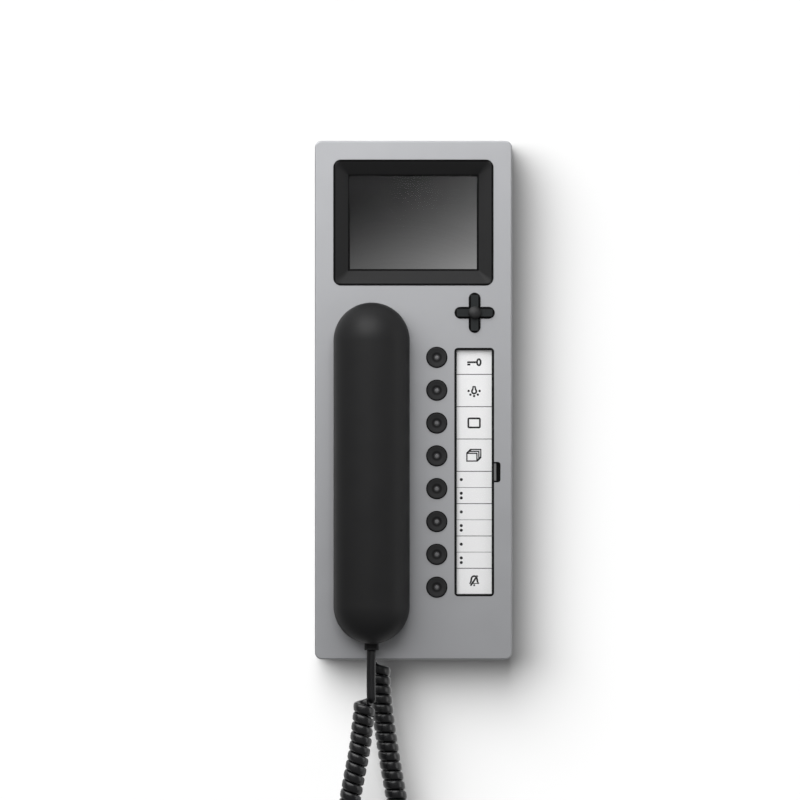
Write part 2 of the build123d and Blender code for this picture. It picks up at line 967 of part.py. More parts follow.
# Keys, each with a light pin in its middle
def key(up):
    cap = disc(key_radius, key_flange_bottom, key_top)
    cap = fillet(cap.edges().sort_by(Axis.Z)[-1], key_edge_round)
    cap += disc(key_flange_radius, key_flange_bottom, key_flange_top)
    cap += disc(key_stem_radius, key_stem_end, key_flange_bottom)
    sphere_radius = (key_dish_radius**2 + key_dish_depth**2) / (2 * key_dish_depth)
    cap -= Pos(0, 0, key_top - key_dish_depth + sphere_radius) * Sphere(sphere_radius)
    cap -= disc(lens_radius + snug, key_stem_end - cut_over, key_top)
    return Pos(key_across, up, 0) * cap


def key_lens(up):
    top = key_top - key_dish_depth + lens_proud
    pin = disc(lens_radius, key_stem_end, top)
    pin = fillet(pin.edges().sort_by(Axis.Z)[-1], lens_proud)
    return Pos(key_across, up, 0) * pin


# Cross key: bushing, rocker and centre button
def ball_zone(radius, half):
    """A slice of a ball round the pivot."""
    return Sphere(radius) & Cylinder(radius * 2, half * 2)


def nav_bushing():
    outer = nav_collar_radius + running_fit + nav_bushing_wall
    bushing = ball_zone(outer, nav_bushing_half) - Sphere(nav_collar_radius + running_fit)
    return Pos(nav_across, nav_up, nav_pivot_out) * bushing


def nav_cross():
    arms = SlotOverall(nav_arm_span, nav_arm_width) + SlotOverall(nav_arm_span, nav_arm_width, rotation=90)
    cross = Pos(0, 0, nav_arm_bottom) * extrude(arms, nav_top - nav_arm_bottom)
    cross = fillet(cross.faces().sort_by(Axis.Z)[-1].edges(), nav_edge_round)
    cross += disc(nav_hub_radius, nav_pivot_out + nav_collar_half, nav_arm_bottom)
    cross += Pos(0, 0, nav_pivot_out) * ball_zone(nav_collar_radius, nav_collar_half)
    cross += disc(nav_neck_radius, nav_foot_top, nav_pivot_out)
    cross += disc(nav_foot_radius, nav_foot_bottom, nav_foot_top)
    cross -= disc(nav_stem_radius + running_fit, nav_foot_bottom - cut_over, nav_top + cut_over)
    return Pos(nav_across, nav_up, 0) * cross


def nav_centre():
    rim_top = nav_dome_base + nav_dome_rim
    ball_radius = (nav_dome_radius**2 + nav_dome_height**2) / (2 * nav_dome_height)
    ball_centre = rim_top + nav_dome_height - ball_radius
    button = Pos(0, 0, ball_centre) * Sphere(ball_radius)
    button &= disc(nav_dome_radius, nav_dome_base, rim_top + nav_dome_height)
    button += disc(nav_stem_radius, nav_clip_bottom, nav_dome_base)
    button += disc(nav_clip_radius, nav_clip_bottom, nav_clip_top)
    return Pos(nav_across, nav_up, 0) * button


# Label strip: tray, card, hinged frame and its window
def label_tray():
    return span(
        label_left - tray_margin,
        label_right + label_gap + notch_width + tray_margin,
        label_up - label_height / 2 - tray_margin,
        label_up + label_height / 2 + tray_margin,
        face_back - tray_thickness,
        face_back,
    )


def label_inner_size():
    return label_width - 2 * label_rim, label_height - 2 * label_rim


def label_card():
    width, height = label_inner_size()
    margin = 2 * card_margin
    high = face_back + card_thickness
    return slab(width - margin, height - margin, face_back, high, label_across, label_up)


def label_frame():
    """The cover's rim. It opens on the thin film that fills the gap along its left edge."""
    frame = slab(label_width, label_height, label_bottom_out, face_out, label_across, label_up, label_corner)
    width, height = label_inner_size()
    low = label_bottom_out - cut_over
    frame -= slab(width, height, low, face_out + cut_over, label_across, label_up, label_inner_corner)
    film_half = label_height / 2 - label_corner
    frame += span(
        label_left - label_gap + snug,
        label_left + label_rim / 2,
        label_up - film_half,
        label_up + film_half,
        face_out - film_thickness,
        face_out,
    )
    frame += span(
        label_right - label_rim,
        label_right + tab_width,
        label_up - tab_height / 2,
        label_up + tab_height / 2,
        face_out - tab_thickness,
        face_out,
    )
    return frame


def label_window():
    width, height = label_inner_size()
    low = face_out - label_window_thickness
    corner = label_inner_corner - snug
    return slab(width - 2 * snug, height - 2 * snug, low, face_out, label_across, label_up, corner)


# Handset: front shell, rear shell with the two discs, and what is inside
def handset_dome(inset):
    """A half-round bar with domed ends, drawn smaller by the inset."""
    half_width = handset_radius - inset
    height = dome_height - inset
    outline = Ellipse(half_width, height)
    quarter = Plane.XZ * (outline & Rectangle(half_width, height, align=(Align.MIN, Align.MIN)))
    half = Plane.XZ * (outline & Rectangle(2 * half_width, height, align=(Align.CENTER, Align.MIN)))
    end = revolve(quarter, Axis.Z)
    bar = Pos(0, ear_up, 0) * extrude(half, ear_up - mouth_up)
    bar = bar + Pos(0, ear_up, 0) * end + Pos(0, mouth_up, 0) * end
    return Pos(handset_across, 0, seam_out) * bar


def handset_front():
    hollow = handset_dome(handset_wall)
    bosses = []
    for up in handset_screw_ups():
        low = grip_back_out + handset_wall
        high = handset_front_out - handset_wall / 2
        bosses.append(ring(handset_boss_radius, handset_screw_radius + snug, low, high, handset_across, up))
    shell = handset_dome(0) - hollow
    for boss in bosses:
        shell += boss & (hollow + stadium(handset_radius - handset_wall, grip_back_out, seam_out))
    return shell


def handset_core(inset):
    """The rear shell's outline drawn smaller by the inset: end blocks, grip and discs."""
    low = foot_out + inset
    core = stadium(handset_radius - inset, low, seam_out)
    top = ear_up - end_block_margin + inset
    bottom = mouth_up + end_block_margin - inset
    round_out = grip_back_out + inset
    gap = span(-housing_width, housing_width, bottom, top, low - cut_over - finger_gap_round, round_out)
    corners = [edge for edge in gap.edges().filter_by(Axis.X) if edge.center().Z > low]
    core -= fillet(corners, finger_gap_round)
    for up in (ear_up, mouth_up):
        core += disc(disc_radius - inset, disc_out + inset, low, handset_across, up)
    return core


def handset_back():
    shell = handset_core(0) - handset_core(handset_wall)
    for up in handset_screw_ups():
        shell -= disc(
            handset_screw_radius + screw_hole_gap, grip_back_out - cut_over, seam_out, handset_across, up
        )
        shell -= screw_sink(screw_hole_gap, up)
    for index in range(sound_hole_count):
        turn = math.radians(360 / sound_hole_count * index)
        across = handset_across + sound_ring_radius * math.cos(turn)
        up = ear_up - receiver_down + sound_ring_radius * math.sin(turn)
        shell -= disc(sound_hole_radius, disc_out - cut_over, disc_inside + cut_over, across, up)
    for across, up in ((handset_across, ear_up - receiver_down), (handset_across, mouth_up)):
        shell -= disc(sound_hole_radius, disc_out - cut_over, disc_inside + cut_over, across, up)
    shell -= gland_body(snug, gland_end_up, gland_inside_up)
    return shell


def screw_sink(gap, up):
    """The cone of a countersunk head, widest at the grip's back."""
    wide = handset_screw_head_radius + gap
    narrow = handset_screw_radius + gap
    height = handset_screw_head_height + gap
    return Pos(handset_across, up, grip_back_out + height / 2) * Cone(wide, narrow, height)


def receiver_capsule():
    low = disc_inside + foam_thickness
    return disc(receiver_radius, low, low + receiver_thickness, handset_across, ear_up - receiver_down)


def receiver_foam():
    return ring(
        receiver_radius,
        receiver_radius - foam_width,
        disc_inside,
        disc_inside + foam_thickness,
        handset_across,
        ear_up - receiver_down,
    )


def microphone_capsule():
    low = disc_inside + boot_floor
    return disc(microphone_radius, low, low + microphone_thickness, handset_across, mouth_up)


def microphone_boot():
    boot = disc(
        microphone_radius + snug + boot_wall, disc_inside, disc_inside + boot_height, handset_across, mouth_up
    )
    high = disc_inside + boot_height + cut_over
    boot -= disc(microphone_radius + snug, disc_inside + boot_floor, high, handset_across, mouth_up)
    boot -= disc(sound_hole_radius, disc_inside - cut_over, high, handset_across, mouth_up)
    return boot


def handset_magnet():
    high = disc_inside + magnet_thickness
    return disc(magnet_radius, disc_inside, high, handset_across, ear_up + magnet_rise)


def handset_screws():
    pieces = []
    for up in handset_screw_ups():
        tip = grip_back_out + handset_screw_length
        screw = disc(handset_screw_radius, grip_back_out + snug, tip, handset_across, up)
        screw += screw_sink(0, up)
        half = screw_slot_width / 2
        screw -= span(
            handset_across - handset_screw_head_radius,
            handset_across + handset_screw_head_radius,
            up - half,
            up + half,
            grip_back_out - cut_over,
            grip_back_out + screw_slot_depth,
        )
        pieces.append(screw)
    return pieces


# Strain relief at the lower end of the handset
def gland_body(gap, bottom, top):
    outline = RectangleRounded(gland_width + 2 * gap, gland_depth + 2 * gap, gland_corner + gap)
    return Pos(handset_across, bottom, gland_out) * Rot(-90, 0, 0) * extrude(outline, top - bottom)


def cord_gland():
    gland = gland_body(0, gland_end_up, gland_inside_up)
    flange = RectangleRounded(
        gland_width + 2 * gland_flange, gland_depth + 2 * gland_flange, gland_corner + gland_flange
    )
    flange_up = gland_inside_up + snug
    place = Pos(handset_across, flange_up, gland_out) * Rot(-90, 0, 0)
    gland += place * extrude(flange, gland_flange_thickness)
    gland += gland_body(0, gland_inside_up - cut_over, flange_up)
    front = gland_out + gland_depth / 2
    gland -= span(
        handset_across - gland_slot_width / 2,
        handset_across + gland_slot_width / 2,
        gland_end_up + gland_slot_rise,
        gland_end_up + gland_slot_rise + gland_slot_height,
        front - gland_slot_depth,
        front + cut_over,
    )
    return gland


# Socket behind the bottom wall, and the plug in it
def jack_bottom():
    return inner_bottom + plate_clearance


def handset_jack():
    bottom = jack_bottom()
    body = slab(
        jack_width,
        jack_length,
        jack_out - jack_depth / 2,
        jack_out + jack_depth / 2,
        jack_across,
        bottom + jack_length / 2,
    )
    body -= span(
        jack_across - plug_width / 2 - plug_gap,
        jack_across + plug_width / 2 + plug_gap,
        bottom - cut_over,
        plug_end_up + plug_length + jack_top_gap,
        jack_out - plug_depth / 2 - plug_gap - plug_latch_thickness,
        jack_out + plug_depth / 2 + plug_gap,
    )
    return body


def cord_plug():
    top = plug_end_up + plug_length
    front = jack_out + plug_depth / 2
    back = jack_out - plug_depth / 2
    plug = span(
        jack_across - plug_width / 2, jack_across + plug_width / 2, plug_end_up, top, back, front
    )
    plug += span(
        jack_across - plug_latch_width / 2,
        jack_across + plug_latch_width / 2,
        top - plug_latch_length,
        top,
        back - plug_latch_thickness + plug_gap,
        back,
    )
    return plug


# Ringer, its gasket, and the steel plate that the handset's magnet holds to
def loudspeaker():
    body = disc(speaker_radius, speaker_back, speaker_front, handset_across, speaker_up)
    low = speaker_back - speaker_magnet_height
    body += disc(speaker_magnet_radius, low, speaker_back, handset_across, speaker_up)
    cone = speaker_front - speaker_cone_depth
    body -= disc(speaker_cone_radius, cone, speaker_front + cut_over, handset_across, speaker_up)
    return body


def speaker_gasket():
    inner = speaker_radius - gasket_width
    return ring(speaker_radius, inner, speaker_front, face_back, handset_across, speaker_up)


def strike_plate():
    low = well_back - strike_thickness
    return disc(strike_radius, low, well_back, handset_across, ear_up + magnet_rise)


# Cradle switch: plunger through the lower well, its spring and the switch
def hook_switch():
    body = slab(
        hook_switch_width, hook_switch_height, plate_thickness, hook_switch_top, handset_across, hook_up
    )
    body += disc(hook_pin_radius, hook_switch_top, hook_switch_top + hook_pin_height, handset_across, hook_up)
    return body


def hook_plunger():
    plunger = disc(plunger_radius, plunger_end, plunger_tip, handset_across, hook_up)
    plunger += disc(
        plunger_flange_radius, plunger_flange_bottom, plunger_flange_top, handset_across, hook_up
    )
    return plunger


# Wound wire: biarcs between stations on a left-handed helix
def biarc(start, start_way, end, end_way):
    """Two tangent arcs that leave one station in its direction and reach the next in its direction."""
    chord = end - start
    lean = chord.dot(start_way + end_way)
    spread = 2 * (1 - start_way.dot(end_way))
    reach = (math.sqrt(lean**2 + spread * chord.dot(chord)) - lean) / spread
    first = start + start_way * reach
    second = end - end_way * reach
    joint = (first + second) / 2
    return [
        Edge.make_tangent_arc(start, start_way, joint),
        Edge.make_tangent_arc(joint, (second - first).normalized(), end),
    ]


class Winding:
    """A helix round a bent axis. It winds slower in a bend, where its curls would touch."""

    def __init__(self, axis, radius, pitch, lead_in, steps_per_curl):
        self.axis = axis
        self.radius = radius
        self.count = math.ceil(axis.length / pitch) * steps_per_curl
        step = axis.length / self.count
        ways = [axis % (index / self.count) for index in range(self.count + 1)]
        rates = []
        for index in range(self.count):
            bend = math.radians(ways[index].get_angle(ways[index + 1])) / step
            along = (index + 1 / 2) * step
            ease = min(1, along / lead_in, (axis.length - along) / lead_in) if lead_in else 1
            rates.append((1 - radius * bend) * ease)
        self.curls = round(sum(rates) * step / pitch)
        scale = self.curls * 2 * math.pi / sum(rates)
        self.angles = [0]
        for rate in rates:
            self.angles.append(self.angles[-1] + rate * scale)

    def place_of(self, angle):
        """The fraction of the axis at which the wire has turned by this angle."""
        index = min(max(sum(1 for value in self.angles if value < angle) - 1, 0), self.count - 1)
        low = self.angles[index]
        high = self.angles[index + 1]
        return (index + (angle - low) / (high - low)) / self.count

    def angle_at(self, place):
        index = min(int(place * self.count), self.count - 1)
        part = place * self.count - index
        return self.angles[index] * (1 - part) + self.angles[index + 1] * part

    def point(self, place):
        way = self.axis % place
        side = Vector(0, 0, 1).cross(way).normalized()
        if side.length == 0:
            side = Vector(1, 0, 0)
        front = way.cross(side)
        angle = -self.angle_at(place)
        return self.axis @ place + (side * math.cos(angle) + front * math.sin(angle)) * self.radius

    def way(self, place):
        near = 1 / self.count / 8
        before = max(place - near, 0)
        after = min(place + near, 1)
        return (self.point(after) - self.point(before)).normalized()

    def stations(self):
        """Places at every half turn, and at every quarter of the first and last curl."""
        total = self.curls * 4
        quarters = [index for index in range(total + 1) if index <= 4 or index >= total - 4 or index % 2 == 0]
        return [self.place_of(index * math.pi / 2) for index in quarters]


def cord_axis():
    count = len(cord_route)
    knots = [0, 0] + list(range(count - 1)) + [count - 2, count - 2]
    return BSpline(cord_route, knots, 2)


def wire_through(winding, start_way, end_way):
    places = winding.stations()
    points = [winding.point(place) for place in places]
    ways = [start_way] + [winding.way(place) for place in places[1:-1]] + [end_way]
    edges = []
    for index in range(len(points) - 1):
        edges += biarc(points[index], ways[index], points[index + 1], ways[index + 1])
    return edges


def least_gap(edges, wire):
    """The smallest distance from the wire to itself, measured on points three arcs apart or more."""
    parts_per_arc = 4
    skip = 3 * parts_per_arc
    points = [edge @ (part / parts_per_arc) for edge in edges for part in range(parts_per_arc)]
    gap = math.inf
    for index, point in enumerate(points):
        for other in points[index + skip:]:
            gap = min(gap, (other - point).length)
    return gap - wire


def curly_cord():
    winding = Winding(cord_axis(), curl_radius, curl_pitch, curl_lead_in, curl_steps)
    down = Vector(0, -1, 0)
    edges = wire_through(winding, down, -down)
    start = edges[0] @ 0
    end = edges[-1] @ 1
    straight = [Edge.make_line(start - down * cord_diameter, start)]
    last = [Edge.make_line(end, end - down * cord_diameter)]
    path = Wire(straight + edges + last)
    radii = [edge.radius for edge in edges]
    print(f"curly cord: {winding.curls} curls, wire {path.length:.0f} mm long")
    print(f"curly cord: arcs of {min(radii):.2f} to {max(radii):.2f} mm")
    print(f"curly cord: least gap to itself {least_gap(edges, cord_diameter):.2f} mm")
    section = Plane(origin=path @ 0, z_dir=down) * Circle(cord_diameter / 2)
    return sweep(section, path=path)


def cord_lead():
    across, top_of_curls, out = cord_route[0]
    lead_end = top_of_curls + cord_diameter
    print(f"cord lead: straight, {gland_end_up - lead_end:.1f} mm")
    return upright_rod(cord_diameter / 2, lead_end, gland_end_up, across + curl_radius, out)


def hook_spring():
    low = hook_switch_top + spring_wire / 2 + rest_gap
    high = plunger_flange_bottom - spring_wire / 2 - rest_gap
    axis = Edge.make_line((handset_across, hook_up, low), (handset_across, hook_up, high))
    edges = []
    rise = (high - low) / (spring_curls * 2)
    slope = Vector(0, spring_radius * math.pi, rise).normalized()
    for index in range(spring_curls * 2):
        side = -1 if index % 2 else 1
        start = Vector(handset_across + side * spring_radius, hook_up, low + rise * index)
        end = Vector(handset_across - side * spring_radius, hook_up, low + rise * (index + 1))
        edges += biarc(start, Vector(0, side * slope.Y, slope.Z), end, Vector(0, -side * slope.Y, slope.Z))
    path = Wire(edges)
    print(f"hook spring: {spring_curls} curls, least gap to itself {rise * 2 - spring_wire:.2f} mm")
    section = Plane(origin=path @ 0, z_dir=path % 0) * Circle(spring_wire / 2)
    return sweep(section, path=path)


def write(node, pieces):
    """Stands the piece up against the wall and writes it."""
    listed = pieces if isinstance(pieces, list) else [pieces]
    solids = [solid for piece in listed for solid in piece.solids()]
    standing = [Rot(90, 0, 0) * solid for solid in solids]
    export_step(standing[0] if len(standing) == 1 else Compound(children=standing), f"parts/{node}.step")


os.makedirs("parts", exist_ok=True)
single_pieces = [
    mounting_plate,
    front_shell,
    shell_screw,
    display_bezel,
    display_window,
    lcd_panel,
    lcd_frame,
    display_screws,
    main_pcb,
    chips,
    capacitors,
    terminal_block,
    terminal_screws,
    board_screws,
    key_pcb,
    key_leds,
    key_mat,
    flat_cable,
    loudspeaker,
    speaker_gasket,
    hook_switch,
    hook_plunger,
    hook_spring,
    strike_plate,
    handset_jack,
    label_tray,
    label_card,
    label_frame,
    label_window,
    nav_bushing,
    nav_cross,
    nav_centre,
    handset_front,
    handset_back,
    receiver_capsule,
    receiver_foam,
    microphone_capsule,
    microphone_boot,
    handset_magnet,
    handset_screws,
    cord_gland,
    cord_plug,
    cord_lead,
    curly_cord,
]
for piece in single_pieces:
    write(piece.__name__, piece())
for number, up in enumerate(key_ups(), 1):
    write(f"key_{number}", key(up))
    write(f"key_{number}_lens", key_lens(up))
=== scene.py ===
import math

import bmesh
import bpy
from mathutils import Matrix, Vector


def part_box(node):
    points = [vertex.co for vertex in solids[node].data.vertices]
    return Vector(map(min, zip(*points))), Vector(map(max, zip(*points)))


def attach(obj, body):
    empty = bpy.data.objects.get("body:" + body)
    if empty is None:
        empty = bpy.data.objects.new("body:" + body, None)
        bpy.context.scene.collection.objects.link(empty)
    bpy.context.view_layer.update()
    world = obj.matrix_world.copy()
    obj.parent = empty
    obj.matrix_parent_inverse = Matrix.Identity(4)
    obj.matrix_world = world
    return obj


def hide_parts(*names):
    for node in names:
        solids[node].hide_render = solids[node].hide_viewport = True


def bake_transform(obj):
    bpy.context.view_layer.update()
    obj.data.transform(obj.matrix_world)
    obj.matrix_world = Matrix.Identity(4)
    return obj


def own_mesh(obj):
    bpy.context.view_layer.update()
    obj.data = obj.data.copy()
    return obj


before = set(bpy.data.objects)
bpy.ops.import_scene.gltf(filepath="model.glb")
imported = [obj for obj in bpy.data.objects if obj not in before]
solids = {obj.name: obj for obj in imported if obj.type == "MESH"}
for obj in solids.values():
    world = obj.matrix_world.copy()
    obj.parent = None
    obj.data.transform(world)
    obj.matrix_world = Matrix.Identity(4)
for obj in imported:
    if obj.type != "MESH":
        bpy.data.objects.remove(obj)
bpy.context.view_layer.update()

bpy.ops.object.select_all(action="DESELECT")


# Camera: straight in front of the station, behind a long lens. The station is a little to
# the right of the picture's middle, and hangs flat against the wall.
face_y = -0.031
picture_width = 0.41424
picture_x, picture_z = -0.00694, 0.00003
sensor_width = 36.0
lens_length = 400.0
camera_far = 50.0
standing_off = picture_width * lens_length / sensor_width
bpy.ops.object.camera_add(
    location=(picture_x, face_y - standing_off, picture_z),
    rotation=(math.radians(90), 0, 0),
)
camera = bpy.context.object
camera.name = "camera"
camera.data.lens = lens_length
camera.data.sensor_width = sensor_width
camera.data.clip_end = camera_far
bpy.context.scene.camera = camera
bpy.context.scene.view_settings.view_transform = "Standard"


# Cord: four flat conductors in one soft black jacket. It drops straight from the handset,
# is wound into a left-handed curl, hangs in a bow and goes up to its plug. It is drawn in
# two lengths that meet at the bow's lowest point, and the plug's length goes with the housing.
cord_width = 0.0047
cord_thickness = 0.0042
lead_width = 0.0046
lead_thickness = 0.0027
lead_step = 0.001
curl_outer_radius = 0.00565
curl_pitch = 0.00495
curl_ease = 0.005
lead_twist = 1.25
groove_share = 0.8
groove_places = (0.3, 0.5)
rings_per_curl = 28
points_round = 28
corner_power = 0.62
plug_step = 0.0006
marks_per_metre = 100
lead_route = [
    (-21.75, -38.0, -129.25),
    (-21.95, -38.0, -137.00),
    (-22.00, -38.0, -146.00),
    (-21.85, -38.0, -153.60),
]
curl_route = [
    (-25.30, -38.0, -153.60),
    (-25.30, -38.0, -160.00),
    (-26.40, -38.0, -168.00),
    (-27.60, -37.8, -180.00),
    (-30.60, -37.2, -194.50),
    (-33.30, -36.3, -209.50),
    (-35.60, -35.0, -228.00),
    (-37.40, -33.8, -248.00),
    (-38.60, -32.4, -266.50),
    (-39.40, -31.0, -282.50),
    (-39.60, -29.5, -297.80),
    (-34.20, -27.5, -310.80),
    (-21.20, -25.5, -316.20),
    (-8.20, -23.5, -310.80),
    (-2.80, -21.5, -297.80),
    (-2.80, -20.0, -282.50),
    (-3.20, -18.8, -266.50),
    (-4.00, -17.8, -248.00),
    (-5.60, -17.0, -228.00),
    (-8.20, -16.3, -209.50),
    (-11.00, -15.8, -194.50),
    (-13.40, -15.4, -180.00),
    (-15.60, -15.2, -165.00),
    (-17.00, -15.0, -152.00),
    (-17.60, -15.0, -144.00),
    (-17.60, -15.0, -136.20),
]
plug_route = [
    (-21.15, -15.0, -136.20),
    (-21.15, -15.0, -134.90),
    (-21.60, -15.0, -133.90),
    (-21.60, -15.0, -132.60),
]


def line_along(name, route):
    """The points of one smooth open NURBS spline, whose control points are the route's."""
    curve = bpy.data.curves.new(name, "CURVE")
    curve.dimensions = "3D"
    spline = curve.splines.new("NURBS")
    spline.points.add(len(route) - 1)
    for point, (x, y, z) in zip(spline.points, route):
        point.co = (x / 1000, y / 1000, z / 1000, 1)
    spline.order_u = 3
    spline.use_endpoint_u = True
    spline.resolution_u = 64
    holder = bpy.data.objects.new(name, curve)
    bpy.context.scene.collection.objects.link(holder)
    line = bpy.data.meshes.new_from_object(holder)
    points = [vertex.co.copy() for vertex in line.vertices]
    bpy.data.objects.remove(holder)
    bpy.data.curves.remove(curve)
    bpy.data.meshes.remove(line)
    return points


def every(points, step):
    """Places at equal steps along a line of points, the way it goes there, and its length."""
    reached = [0.0]
    for first, second in zip(points, points[1:]):
        reached.append(reached[-1] + (second - first).length)
    count = round(reached[-1] / step)
    places, index = [], 0
    for number in range(count + 1):
        target = reached[-1] * number / count
        while index < len(points) - 2 and reached[index + 1] < target:
            index += 1
        share = (target - reached[index]) / (reached[index + 1] - reached[index])
        places.append(points[index].lerp(points[index + 1], share))
    ways = [
        (places[min(number + 1, count)] - places[max(number - 1, 0)]).normalized()
        for number in range(count + 1)
    ]
    return places, ways, reached[-1]


def eased(share):
    """A share from nought to one that starts and ends softly."""
    share = min(max(share, 0.0), 1.0)
    return share * share * (3 - 2 * share)


curl_radius = curl_outer_radius - cord_thickness / 2
axis, axis_ways, axis_length = every(
    line_along("curl_route", curl_route), curl_pitch / rings_per_curl
)
axis_step = axis_length / (len(axis) - 1)
rates = []
for number in range(len(axis) - 1):
    bend = axis_ways[number].angle(axis_ways[number + 1]) / axis_step
    along = (number + 0.5) * axis_step
    ease = min(1, along / curl_ease, (axis_length - along) / curl_ease)
    rates.append((1 - curl_radius * bend) * ease)
curls = round(sum(rates) * axis_step / curl_pitch)
turned = [0.0]
for rate in rates:
    turned.append(turned[-1] + rate * curls * 2 * math.pi / sum(rates))

out_of_wall = Vector((0, -1, 0))
centres, faces_to, sections = [], [], []
lead_places, _, _ = every(line_along("lead_route", lead_route), lead_step)
for place in lead_places[:-1]:
    centres.append(place)
    faces_to.append(out_of_wall.copy())
    sections.append((lead_width / 2, lead_thickness / 2, 1.0))
lead_count = len(centres)
for place, way, angle in zip(axis, axis_ways, turned):
    side = out_of_wall.cross(way).normalized()
    front = way.cross(side)
    outward = side * math.cos(angle) - front * math.sin(angle)
    share = eased(angle / lead_twist)
    centres.append(place + outward * curl_radius)
    faces_to.append(out_of_wall.lerp(outward, share))
    sections.append(
        (
            (lead_width * (1 - share) + cord_width * share) / 2,
            (lead_thickness * (1 - share) + cord_thickness * share) / 2,
            1 - share,
        )
    )
plug_places, _, _ = every(line_along("plug_route", plug_route), plug_step)
for place in plug_places[1:]:
    centres.append(place)
    faces_to.append(faces_to[-1].copy())
    sections.append(sections[-1])


def flat_jacket(name, first, final):
    """The jacket over a stretch of the cord: a rounded oblong, with a groove on the lead."""
    mesh = bpy.data.meshes.new(name)
    shape = bmesh.new()
    marks = shape.loops.layers.uv.new("along")
    rows, reached = [], [0.0]
    for number in range(first, final + 1):
        before = centres[max(number - 1, 0)]
        after = centres[min(number + 1, len(centres) - 1)]
        way = (after - before).normalized()
        normal = (faces_to[number] - way * faces_to[number].dot(way)).normalized()
        across = way.cross(normal)
        half_width, half_thickness, ribs = sections[number]
        row = []
        for index in range(points_round):
            turn = 2 * math.pi * index / points_round
            flat, deep = math.cos(turn), math.sin(turn)
            x = half_width * math.copysign(abs(flat) ** corner_power, flat)
            y = half_thickness * math.copysign(abs(deep) ** corner_power, deep)
            if groove_places[0] < x / half_width < groove_places[1]:
                y *= 1 - groove_share * ribs
            row.append(shape.verts.new(centres[number] + across * x + normal * y))
        rows.append(row)
        if number > first:
            reached.append(reached[-1] + (centres[number] - centres[number - 1]).length)
    for number, (row, following) in enumerate(zip(rows, rows[1:])):
        for index in range(points_round):
            beside = (index + 1) % points_round
            face = shape.faces.new(
                (row[index], row[beside], following[beside], following[index])
            )
            corners = [
                (index, number),
                (index + 1, number),
                (index + 1, number + 1),
                (index, number + 1),
            ]
            for loop, (around, onward) in zip(face.loops, corners):
                loop[marks].uv = (around / points_round, reached[onward] * marks_per_metre)
    shape.faces.new(list(reversed(rows[0])))
    shape.faces.new(rows[-1])
    bmesh.ops.recalc_face_normals(shape, faces=shape.faces)
    shape.to_mesh(mesh)
    shape.free()
    piece = bpy.data.objects.new(name, mesh)
    bpy.context.scene.collection.objects.link(piece)
    for face in mesh.polygons:
        face.use_smooth = len(face.vertices) == 4
    return piece


lowest = min(range(len(axis)), key=lambda n: axis[n].z) + lead_count
bow_end = len(centres) - 1
handset_cord = flat_jacket("cord_handset_side", 0, lowest)
plug_cord = flat_jacket("cord_plug_side", lowest, bow_end)
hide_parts("cord_lead", "curly_cord")
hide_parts("curly_cord")
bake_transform(handset_cord)
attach(plug_cord, "housing")


grain_detail, grain_strength = 3.0, 0.6
cloud_scale, cloud_detail = 70.0, 5.0
cloud_low, cloud_high = 0.3, 0.7
gloss_change = 0.04


def grained(name, color, roughness, grain, depth, tint=0.06, metallic=0.0, shine=0.5):
    """A finish with a fine grain in the surface, and soft clouds of tone and gloss over it."""
    finish = bpy.data.materials.new(name)
    finish.use_nodes = True
    tree = finish.node_tree
    shader = tree.nodes["Principled BSDF"]
    shader.inputs["Metallic"].default_value = metallic
    shader.inputs["Specular IOR Level"].default_value = shine
    place = tree.nodes.new("ShaderNodeTexCoord")
    fine = tree.nodes.new("ShaderNodeTexNoise")
    fine.inputs["Scale"].default_value = 1 / grain
    fine.inputs["Detail"].default_value = grain_detail
    clouds = tree.nodes.new("ShaderNodeTexNoise")
    clouds.inputs["Scale"].default_value = cloud_scale
    clouds.inputs["Detail"].default_value = cloud_detail
    bump = tree.nodes.new("ShaderNodeBump")
    bump.inputs["Strength"].default_value = grain_strength
    bump.inputs["Distance"].default_value = depth
    gloss = tree.nodes.new("ShaderNodeMapRange")
    gloss.inputs["From Min"].default_value = cloud_low
    gloss.inputs["From Max"].default_value = cloud_high
    gloss.inputs["To Min"].default_value = roughness - gloss_change
    gloss.inputs["To Max"].default_value = roughness + gloss_change
    tone = tree.nodes.new("ShaderNodeMix")
    tone.data_type = "RGBA"
    tone.inputs["A"].default_value = (*[part * (1 - tint) for part in color], 1)
    tone.inputs["B"].default_value = (*[part * (1 + tint) for part in color], 1)
    for texture in (fine, clouds):
        tree.links.new(place.outputs["Object"], texture.inputs["Vector"])
    tree.links.new(fine.outputs["Fac"], bump.inputs["Height"])
    tree.links.new(bump.outputs["Normal"], shader.inputs["Normal"])
    tree.links.new(clouds.outputs["Fac"], gloss.inputs["Value"])
    tree.links.new(gloss.outputs["Result"], shader.inputs["Roughness"])
    tree.links.new(clouds.outputs["Fac"], tone.inputs["Factor"])
    tree.links.new(tone.outputs["Result"], shader.inputs["Base Color"])
    return finish


def finish_with(finish, *names):
    """The finish goes on the solids of these names."""
    for name in names:
        slots = solids[name].data.materials
        slots.clear()
        slots.append(finish)


jacket = grained("cord_jacket", (0.007, 0.007, 0.008), 0.31, 0.0005, 0.00001, shine=0.5)
for piece in (handset_cord, plug_cord):
    piece.data.materials.append(jacket)


# Mounting plate: a flat moulded tray of light grey ABS that is screwed to the wall box. The
# cables come through its hole, and the shell hooks over its top edge.
plate_grey = grained("plate_abs", (0.47, 0.475, 0.48), 0.52, 0.0006, 0.00002)
finish_with(plate_grey, "mounting_plate")


# Shell: one injection-moulded box of black ABS in a satin silver lacquer, with openings for
# the display, keys and label, and the two wells that the handset's discs lie in. The sides and
# the outer rim of the face are painted a darker, plain grey as painted shade, and the walls of
# the openings are painted black as painted shade in the gaps round the parts in them.
# The sides' darker grey and the black inside the openings are painted shade.
lacquer_silver, shaded_side_silver = (0.4, 0.404, 0.418), (0.3, 0.303, 0.314)
gap_shade_black = (0.004, 0.004, 0.0042)
lacquer = grained(
    "silver_lacquer", lacquer_silver, 0.5, 0.0009, 0.000005, tint=0.012, metallic=0.7
)


